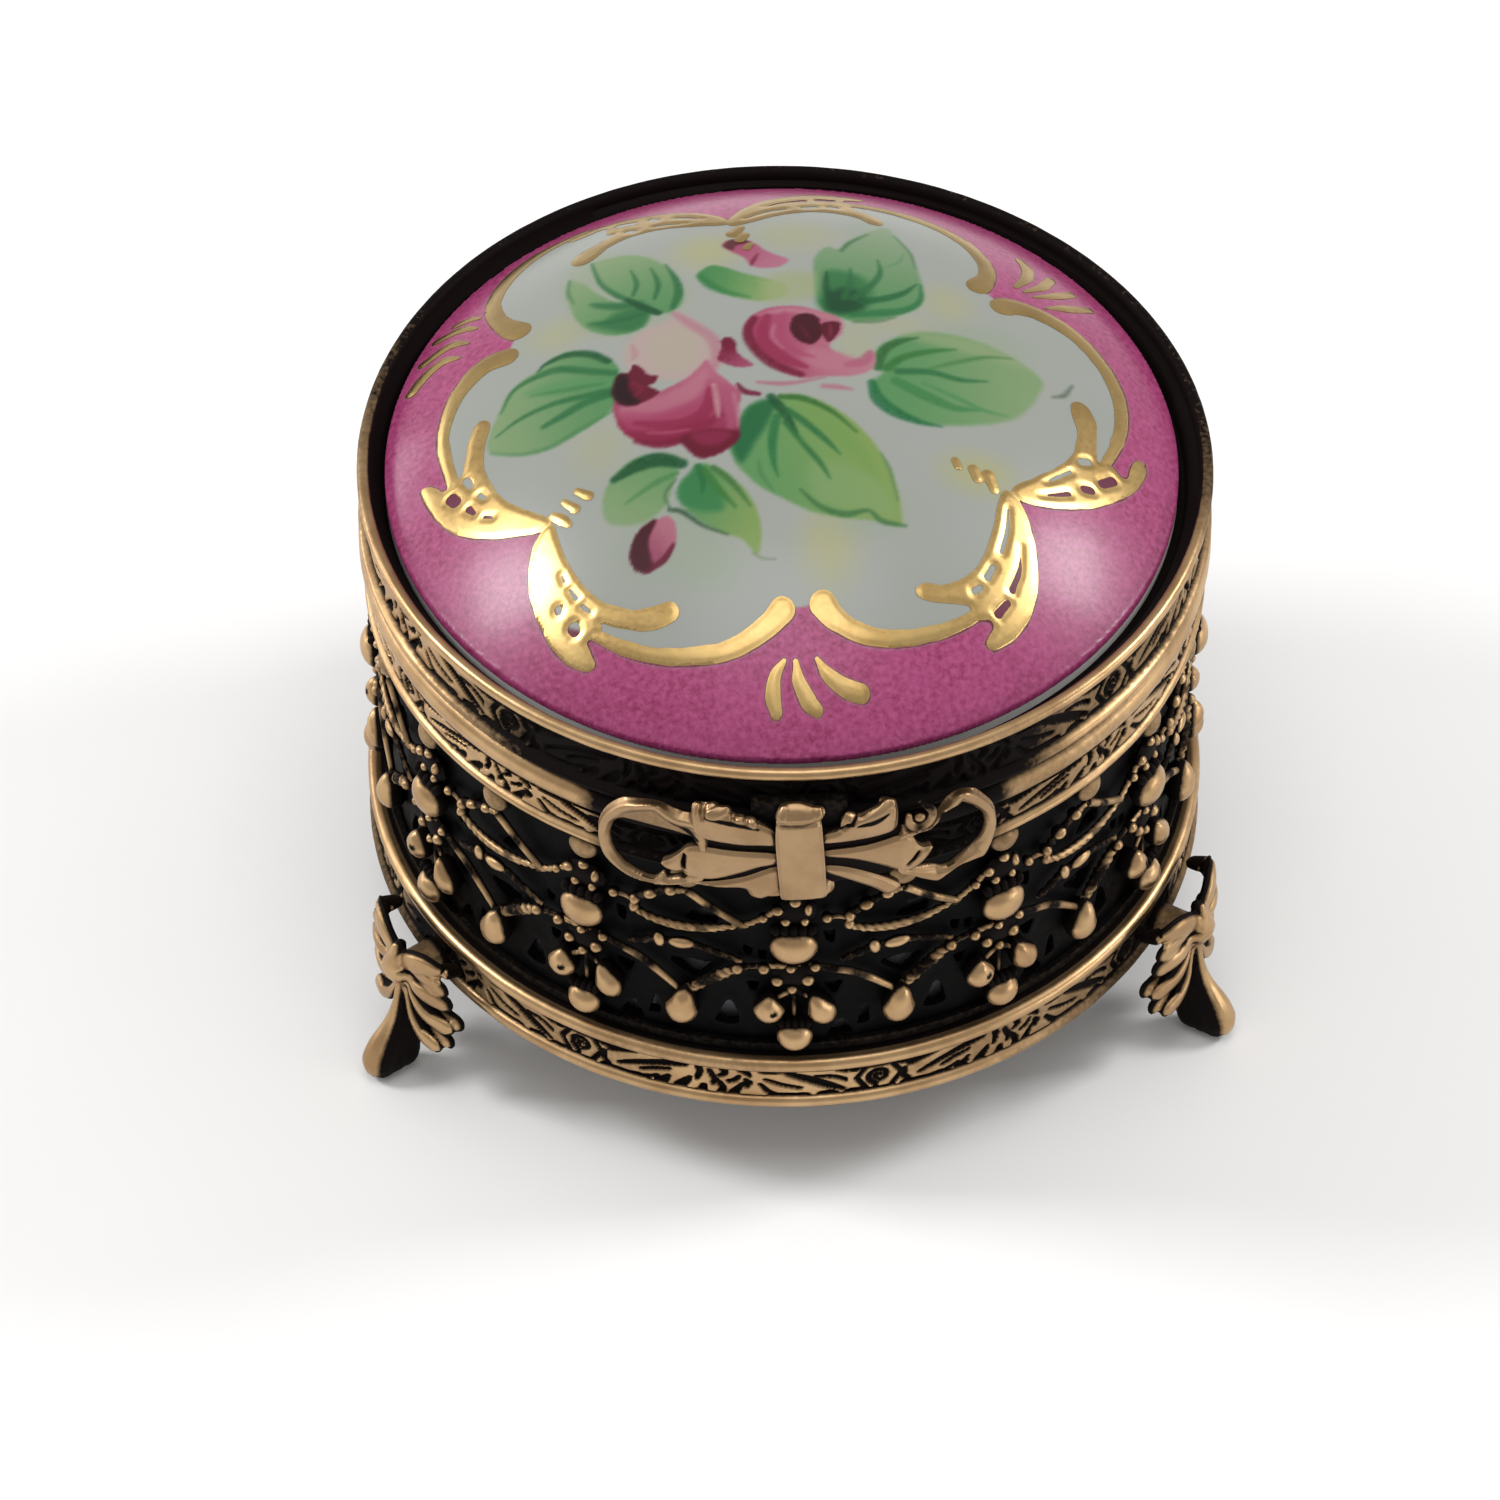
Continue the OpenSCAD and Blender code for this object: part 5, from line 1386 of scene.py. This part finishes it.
def merged(obj, voxel, smooth_steps, grooves_and_shade):
    """Melts the overlapping lobes of a mesh into one skin, evens it out, and cuts and
    darkens it as the given function of points and normals says; that darkening holds painted shade."""
    remesh = obj.modifiers.new("melt", "REMESH")
    remesh.mode = "VOXEL"
    remesh.voxel_size = voxel * MM
    mesh = bpy.data.meshes.new_from_object(obj.evaluated_get(bpy.context.evaluated_depsgraph_get()))
    obj.modifiers.clear()
    mesh.name = obj.name + "_skin"
    count = len(mesh.vertices)
    co = np.empty(count * 3)
    mesh.vertices.foreach_get("co", co)
    co = co.reshape(-1, 3)
    edges = np.empty(len(mesh.edges) * 2, int)
    mesh.edges.foreach_get("vertices", edges)
    a, b = edges.reshape(-1, 2).T
    links = np.bincount(np.concatenate([a, b]), minlength=count)[:, None]

    def relaxed(points, times, amount):
        for _ in range(times):
            total = np.stack([np.bincount(a, points[b, c], count) + np.bincount(b, points[a, c], count)
                              for c in range(3)], 1)
            points = points + amount * (total / links - points)
        return points

    co = relaxed(co, smooth_steps, 0.5)
    mesh.vertices.foreach_set("co", co.ravel())
    mesh.update()
    normals = np.empty(count * 3)
    mesh.vertices.foreach_get("normal", normals)
    normals = normals.reshape(-1, 3)
    hollow = np.sum((relaxed(co, 14, 0.7) - co) * normals, 1) / MM
    cut, black = grooves_and_shade(co, normals)
    mesh.vertices.foreach_set("co", (co - normals * cut[:, None] * MM).ravel())
    mesh.update()
    mesh.polygons.foreach_set("use_smooth", np.ones(len(mesh.polygons), bool))
    mark = mesh.attributes.new("recess_and_shade", "FLOAT", "POINT")
    # Oxide in the hollows, plus the given darkening, which holds painted shade.
    mark.data.foreach_set("value", np.clip(1.1 * smoothstep(0.02, 0.14, hollow) + black, 0,
                                           1).astype(np.float32))
    mesh.materials.clear()
    mesh.materials.append(obj.data.materials[0])
    obj.data = mesh
    return obj


def cast_foot(name, angle):
    local = Pile()
    for side in (1, -1):
        for path in PETALS:
            p = np.array(path, float)
            p[:, 0] *= side
            limb(local, p)
    for path in SPINE:
        limb(local, np.array(path, float))
    a = math.radians(angle)
    points = np.vstack(local.points)
    points[:, 2] = np.maximum(points[:, 2], 0.02 - BASE)
    t, r = points[:, 0], points[:, 1]
    world = np.stack([r * math.cos(a) - t * math.sin(a), r * math.sin(a) + t * math.cos(a), points[:, 2]], 1)
    pile = Pile()
    pile.add(world, np.vstack(local.quads), np.vstack(local.tris))

    lobes = []
    for side in (1, -1):
        lobes += [curve(np.array(path, float) * (side, 1, 1, 1, 1), 14) for path in PETALS]
    lobes += [curve(np.array(path, float), 14) for path in SPINE[:3]]

    def grooves_and_shade(co, normals):
        """Grooves run along the lobes' edges and are blackened; the sides that do not face out from the axis
        are painted dark as shade, and what faces away from the axis stays bright.
        """
        x, y, z = (co / MM - AXIS).T
        z = z - BASE
        across, up = -x * math.sin(a) + y * math.cos(a), z
        near = np.full(len(co), 9.0)
        for lobe in lobes:
            for c in lobe:
                near = np.minimum(near, np.hypot(across - c[0], up - c[2]) / c[3])
        facing = normals[:, 0] * math.cos(a) + normals[:, 1] * math.sin(a) + .25 * normals[:, 2]
        groove = smoothstep(.55, .95, near)
        return .16 * groove * smoothstep(.1, .5, facing), .95 * groove + .9 * smoothstep(.45, .05, facing)

    merged(pile.piece(name + "_cast", "jar", "antique_brass", brass, (name,)), 0.15, 2, grooves_and_shade)


for name, angle in FOOT_ANGLES.items():
    cast_foot(name, angle)


# ---- The bow --------------------------------------------------------------------------

BOW_R = 32.55
BOW_READ_R = 33.4
CURL_Z, CURL_R = 33.3, 1.6


def on_bow(x, y, n):
    """x along the jar, y as seen on the bow's mean radius, n out from its back.
    Above CURL_Z the sheet bends back towards the lid."""
    x, y, n = (np.asarray(v, float) for v in (x, y, n))
    phi = np.linspace(0, 1.5, 200)
    seen = CURL_R * (np.sin(phi) + 1.035 * (1 - np.cos(phi)))
    turn = np.interp(np.maximum(y - CURL_Z, 0), seen, phi)
    lean = n - (BOW_READ_R - BOW_R)
    z = np.minimum(y, CURL_Z) + (CURL_R + lean) * np.sin(turn)
    r = BOW_READ_R + lean - (CURL_R + lean) * (1 - np.cos(turn))
    a = math.radians(FRONT) + x / BOW_READ_R
    return np.stack([r * np.cos(a), r * np.sin(a), z], -1)


def bow_grid(low, high, step=.09):
    return np.meshgrid(np.arange(low[0], high[0], step), np.arange(low[1], high[1], step))


def relief(pile, outline, front, back, low, high, mark=None, holes=()):
    """A cast relief inside an outline. front(x, y, edge) is its height."""
    x, y = bow_grid(low, high)
    edge = polygon_field(x, y, curve(outline, 4, closed=True))
    for hole in holes:
        edge = np.minimum(edge, -polygon_field(x, y, curve(hole, 4, closed=True)))
    height = front(x, y, edge)
    height = height - .22 * smoothstep(.34, 0, edge)
    marks = mark(x, y, edge) if mark else 0.0
    sheet(pile, x, y, edge, height, np.full(x.shape, back), on_bow, mark=marks)


def ridge(x, y, path, height):
    """A soft ridge or, with a negative height, a furrow along a stroke."""
    return height * smoothstep(-.18, .12, stroke_field(x, y, curve(path, 5)))


L_UPPER = [(-1.7, 31.1), (-3, 30.95), (-4.5, 30.9), (-7.2, 31.2), (-8.0, 31.9), (-8.0, 33), (-7.95, 35),
           (-7.6, 35.5),
           (-7, 35.5), (-6.4, 35.8), (-5.9, 35.4), (-5.2, 35.4), (-4.95, 34.5), (-4.6, 34.2), (-4.2, 34.2),
           (-3.9, 33.8),
           (-3.4, 33.9), (-3.0, 33.3), (-2.5, 33.0), (-1.8, 32.4)]
L_MIDDLE = [(-1.7, 30.1), (-5, 30.2), (-7.3, 30.3), (-8.3, 30), (-8.9, 29.2), (-9.6, 28.4), (-10.3, 27.8),
            (-9.9, 27.3),
            (-9.1, 27.2), (-8.6, 27.4), (-8.3, 26.9), (-6.5, 26.9), (-4.5, 27.8), (-3, 28.6), (-1.7, 29.1)]
L_LOWER = [(-1.6, 28.6), (-4, 27.4), (-6, 26.65), (-7.9, 26.1), (-6, 25.95), (-4.1, 26.1), (-3.5, 25.3),
           (-2.8, 25.1),
           (-2.2, 25.4), (-1.3, 25.6), (-1.2, 27)]
R_UPPER = [(1.7, 31.15), (4.5, 31.2), (6.4, 31.45), (7.15, 31.9), (7.3, 33), (7.25, 35.0), (6.9, 35.6),
           (6.2, 35.9),
           (5.9, 35.1), (5.2, 34.4), (4.5, 33.9), (4.0, 34.2), (3.5, 34.5), (3.1, 33.4), (2.9, 32.4),
           (1.8, 32.0)]
R_MIDDLE = [(1.8, 30.3), (5, 30.5), (7.5, 31), (8.4, 30.6), (8.8, 29.7), (9.3, 29.15), (10.0, 29.0),
            (9.7, 28.2),
            (9, 27.4), (8.1, 27.0), (7.5, 27.2), (6, 28.2), (4, 29.2), (1.8, 29.8)]
R_LOWER = [(1.8, 28.6), (3.5, 28.25), (5.5, 27.2), (7, 26.1), (7.6, 25.3), (6.6, 24.8), (5.5, 25.7),
           (3.5, 27), (1.8, 28.0)]
L_LOOP = [(-7.0, 32.7), (-8.1, 33.15), (-8.8, 33.2), (-9.5, 33.5), (-10.3, 34.2), (-11, 34.3), (-12, 33.95),
          (-13.5, 33.2),
          (-14.6, 32), (-15.2, 30.8), (-15.45, 29.5), (-15.3, 28), (-14.8, 26.8), (-13.5, 25.7), (-12, 25.2),
          (-10.5, 25.2),
          (-9, 25.6), (-7.9, 26.1), (-6.9, 26.6), (-6.6, 28.0), (-6.6, 30.5)]
L_HOLE = [(-14.3, 30), (-14.45, 29), (-14.2, 27.7), (-13.3, 26.5), (-12, 25.85), (-10.9, 25.75),
          (-10.2, 26.5),
          (-9.8, 26.1), (-9, 26.4), (-8.3, 26.75), (-8.0, 28.6), (-7.7, 30.5), (-9.0, 31.0), (-11, 31.2),
          (-13.3, 31.2), (-14, 30.8)]
R_LOOP = [(7.4, 31.3), (8.3, 31.5), (9.4, 31.3), (10.3, 32), (11.0, 33.0), (11.9, 34.15), (12.8, 34.1),
          (13.6, 33.3),
          (14.4, 32.2), (15.1, 31.0), (15.35, 29.5), (15.1, 28.0), (14.7, 26.9), (14.2, 26.2), (13.2, 26.1),
          (12.3, 26.0),
          (11.4, 25.5), (10.4, 25.0), (9.2, 25.6), (8.2, 26.3), (7.2, 26.9), (6.9, 28.5), (6.9, 30.2)]
R_HOLE = [(8.7, 30.7), (9.8, 30.9), (10.4, 31.5), (10.9, 32.3), (12, 32.6), (13.2, 32.0), (14.2, 30.5),
          (14.35, 29),
          (13.8, 27.8), (12.5, 26.9), (11.2, 26.2), (10.0, 26.6), (8.8, 27.0), (8.0, 27.6), (8.0, 29.5)]
KNOT = [(-1.35, 25.8), (-.9, 25.55), (.9, 25.6), (1.95, 25.85), (1.95, 27), (1.85, 29.5), (1.7, 32),
        (1.6, 33.6), (1.55, 34.1),
        (1.85, 34.7), (1.7, 35.4), (1.0, 35.6), (0, 36.0), (-1.0, 35.9), (-1.5, 35.5), (-1.75, 34.6),
        (-1.7, 33.9),
        (-1.75, 32), (-1.6, 29), (-1.45, 27)]


def bow():
    loops, leaves, knot = Pile(), Pile(), Pile()
    # Loops: a bright outer rim and a ribbon that falls away to the hole. The falling ribbon is painted
    # a little dark as shade, and a dark fold line is painted as shade where the upper pleat meets the left
    # loop.
    for outline, hole in ((L_LOOP, L_HOLE), (R_LOOP, R_HOLE)):
        rim_line = curve(outline, 4, closed=True)

        def front(x, y, edge):
            outer = polygon_field(x, y, rim_line)
            return .30 + .50 * smoothstep(.05, .35, outer) - .42 * smoothstep(.55, 1.5, outer)

        def mark(x, y, edge):
            outer = polygon_field(x, y, rim_line)
            fold_shade = stroke_field(x, y, np.array([(-9.6, 32.3, .10), (-8.6, 31.8, .16), (-7.6, 31.0, .2)]))
            # Painted shade: the ribbon away from the rim, and the fold line.
            return .28 * smoothstep(.7, 1.6, outer) + .8 * smoothstep(-.15, .1, fold_shade)

        low = (min(p[0] for p in outline) - .4, 24.6)
        high = (max(p[0] for p in outline) + .4, 34.9)
        relief(loops, outline, front, -.04, low, high, mark, (hole,))
    # A small hook on the right loop.
    wire(loops, on_bow, [(8.1, 33.0, .55, .25), (8.2, 32.2, .62, .40), (8.8, 31.8, .68, .45),
                         (9.6, 32.1, .68, .42),
                         (9.9, 32.9, .62, .36), (9.5, 33.6, .55, .30), (9.0, 34.3, .5, .18)], sides=10)
    blob(loops, on_bow, 8.95, 32.6, .55, .5, .45, .42, rings=8, sides=12)

    def pleat(outline, base, swell, dents=(), shade_lines=()):
        def front(x, y, edge):
            out = base + swell * smoothstep(0, 1.2, edge)
            for path, height in dents:
                out = out + ridge(x, y, path, height)
            return out

        # The strokes along the folds and slits of the pleat are painted dark as shade.
        def mark(x, y, edge):
            out = np.zeros(x.shape)
            for path in shade_lines:
                out = np.maximum(out, smoothstep(-.12, .10, stroke_field(x, y, curve(path, 5))))
            return out

        low = (min(p[0] for p in outline) - .3, min(p[1] for p in outline) - .3)
        high = (max(p[0] for p in outline) + .3, max(p[1] for p in outline) + .3)
        relief(leaves, outline, front, -.02, low, high, mark)

    pleat(L_UPPER, .78, .16,
          dents=(([(-7.75, 33.0, .2), (-7.75, 35.2, .3)], .22),
                 ([(-7.1, 33.6, .12), (-7.15, 35.2, .16)], -.25),
                 ([(-6.4, 34.2, .5), (-5.6, 34.9, .5)], .18), ([(-4.9, 33.8, .1), (-4.9, 34.5, .12)], -.25),
                 ([(-4.4, 33.8, .2), (-4.3, 34.1, .2)], .15), ([(-3.9, 33.5, .1), (-3.9, 33.9, .1)], -.2),
                 ([(-3.3, 33.3, .2), (-3.2, 33.6, .2)], .15)),
          shade_lines=([(-6.9, 33.7, .08), (-5.6, 33.55, .2), (-4.4, 33.3, .16), (-3.0, 32.9, .08)],))
    pleat(R_UPPER, .78, .16,
          dents=(([(3.9, 33.4, .3), (5.6, 34.2, .45), (6.7, 35.0, .45)], .24),
                 ([(6.95, 33.2, .15), (7.0, 35.2, .2)], .2),
                 ([(3.3, 32.7, .1), (4.0, 33.7, .12)], -.3)),
          shade_lines=([(3.0, 32.6, .10), (3.7, 33.1, .12), (4.2, 34.0, .1)],
                [(4.3, 33.0, .10), (5.5, 33.2, .22), (6.5, 33.8, .10)]))
    pleat(L_MIDDLE, .80, .14, shade_lines=([(-8.55, 27.9, .10), (-8.6, 28.5, .13), (-8.5, 29.2, .08)],),
          dents=(([(-8.55, 27.9, .1), (-8.5, 29.2, .1)], -.4),))
    pleat(R_MIDDLE, .80, .14, shade_lines=([(8.1, 27.9, .08), (8.5, 28.4, .16), (8.9, 28.9, .10)],),
          dents=(([(8.1, 27.9, .1), (8.9, 28.9, .1)], -.4),))
    pleat(L_LOWER, .68, .12)
    pleat(R_LOWER, .68, .12)
    # The web that joins the pleats behind their grooves, painted black all over as the shade in the gaps
    # between them.
    for side in (-1, 1):
        web = [(side * .3, 26.3), (side * 3.0, 26.6), (side * 6.3, 26.7), (side * 7.6, 27.8),
               (side * 7.8, 30.0),
               (side * 7.5, 31.6), (side * 4.0, 31.9), (side * .3, 32.0)]
        web = web if side > 0 else web[::-1]
        relief(leaves, web, lambda x, y, edge: np.full(x.shape, .42), -.03, (min(p[0] for p in web) - .3, 26),
               (max(p[0] for p in web) + .3, 32.4), lambda x, y, edge: np.ones(x.shape))
    # Knot: a flat strap with rounded shoulders and two small ends below it.
    for lobe in ([(1.0, 27.0), (1.9, 27.2), (2.5, 26.8), (2.6, 26.0), (2.2, 25.4), (1.4, 25.4), (.8, 25.9)],
                 [(-2.0, 26.4), (-1.2, 26.6), (-.9, 25.9), (-1.3, 25.4), (-2.2, 25.3), (-2.6, 25.6)]):
        relief(knot, lobe, lambda x, y, edge: .55 + .25 * smoothstep(0, .6, edge), 0.0,
               (min(p[0] for p in lobe) - .3, 24.9), (max(p[0] for p in lobe) + .3, 27.6))
    # The dark line in the crease under the knot's bent-back top is painted shade.
    relief(knot, KNOT,
           lambda x, y, edge: 1.22 + .10 * smoothstep(0, 1.0, edge) - ridge(x, y,
                                                                            [(-1.5, 33.75, .16),
                                                                             (1.4, 33.95, .16)], .14)
           + ridge(x, y, [(-1.4, 34.4, .3), (-1.2, 35.2, .3)], .12) + ridge(x, y,
                                                                            [(1.4, 34.5, .3),
                                                                             (1.3, 35.1, .3)], .12),
           0.0, (-2.1, 25.2), (2.3, 36.4),
           lambda x, y, edge: .7 * smoothstep(-.1, .12, stroke_field(x, y,
                                                                     np.array([(-1.4, 33.7, .10),
                                                                               (.2, 33.7, .12),
                                                                               (1.2, 34.0, .04)]))))
    loops.piece("bow_loops_cast", "lid", "antique_brass", bow_brass, ("bow_loops",))
    leaves.piece("bow_leaves_cast", "lid", "antique_brass", bow_brass, ("bow_leaves",))
    knot.piece("bow_knot_cast", "lid", "antique_brass", bow_brass, ("bow_knot",))


bow()


# ---- CAD pieces that keep their own shape -----------------------------------------

FINISH = {"base_plate": blackened, "liner_cup": liner, "wall_foot_ring": blackened, "catch_stud": brass,
          "hinge_leaf_jar": brass, "hinge_leaf_lid": brass, "hinge_pin": pin_steel, "dome_keeper": brass,
          "lid_lip": brass, "clasp_tongue": blackened}
for name, material in FINISH.items():
    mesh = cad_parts[name].data
    mesh.materials.clear()
    mesh.materials.append(material)


# ---- Floor, light and camera ---------------------------------------------------------

def studio():
    size = 3.0
    bpy.ops.mesh.primitive_plane_add(size=size)
    floor = bpy.context.object
    floor.name = "floor"
    mat, nodes, links, shader = new_material("paper_floor")
    coords = nodes.new("ShaderNodeTexCoord")
    soft = noise(nodes, links, coords, 40.0, 3.0)
    links.new(mixed(nodes, links, soft, (0.86, 0.86, 0.855), (0.89, 0.89, 0.885)),
              shader.inputs["Base Color"])
    shader.inputs["Roughness"].default_value = 0.9
    floor.data.materials.append(mat)

    world = bpy.data.worlds.new("studio")
    bpy.context.scene.world = world
    world.use_nodes = True
    background = world.node_tree.nodes["Background"]
    background.inputs["Color"].default_value = (1.0, 0.99, 0.98, 1.0)
    background.inputs["Strength"].default_value = 0.50
    bpy.context.scene.view_settings.view_transform = "Standard"

    target = Vector((0, 0, 0.03))
    for name, azimuth, elevation, distance, size_x, size_y, power in (
            ("left_box", -98, 40, 0.60, 0.15, 0.15, 1.7),
            ("right_box", 101, 37, 0.60, 0.15, 0.15, 1.5),
            ("left_strip", -118, 8, 0.60, 0.38, 0.10, 0.65),
            ("right_strip", 73, 8, 0.60, 0.37, 0.10, 0.55),
            ("top_box", 0, 80, 0.90, 0.5, 0.5, 2.0)):
        light = bpy.data.lights.new(name, "AREA")
        light.shape = "RECTANGLE"
        light.size, light.size_y = size_x, size_y
        light.energy = power
        obj = bpy.data.objects.new(name, light)
        bpy.context.scene.collection.objects.link(obj)
        a, e = math.radians(azimuth), math.radians(elevation)
        away = Vector((math.sin(a) * math.cos(e), -math.cos(a) * math.cos(e), math.sin(e)))
        obj.location = target + away * distance
        obj.rotation_euler = away.to_track_quat("Z", "Y").to_euler()


def camera():
    """Looks down at 45.9 degrees from 2 degrees left of the bow, from 733 mm."""
    azimuth, elevation = math.radians(-2.0), math.radians(45.9)
    distance, focal = 0.733, 9822 / 1500
    anchor = Vector(to_world([[0, 0, 36.3]])[0])
    away = Vector((math.sin(azimuth) * math.cos(elevation), -math.cos(azimuth) * math.cos(elevation),
                   math.sin(elevation)))
    # The anchor shows this far right of and above the middle of the picture.
    right_of, above = 35 / 1500 / focal, 282 / 1500 / focal
    look = -away
    for _ in range(40):
        right = look.cross(Vector((0, 0, 1))).normalized()
        up = right.cross(look)
        seen = (look + right * right_of + up * above).normalized()
        look = (look - away - seen).normalized()
    right = look.cross(Vector((0, 0, 1))).normalized()
    up = right.cross(look)
    data = bpy.data.cameras.new("camera")
    data.sensor_width = 36
    data.lens = 36 * focal
    data.clip_start, data.clip_end = 0.05, 10
    cam = bpy.data.objects.new("camera", data)
    bpy.context.scene.collection.objects.link(cam)
    turn = Matrix((right, up, -look)).transposed().to_4x4()
    cam.matrix_world = Matrix.Translation(anchor + away * distance) @ turn
    bpy.context.scene.camera = cam


studio()
camera()
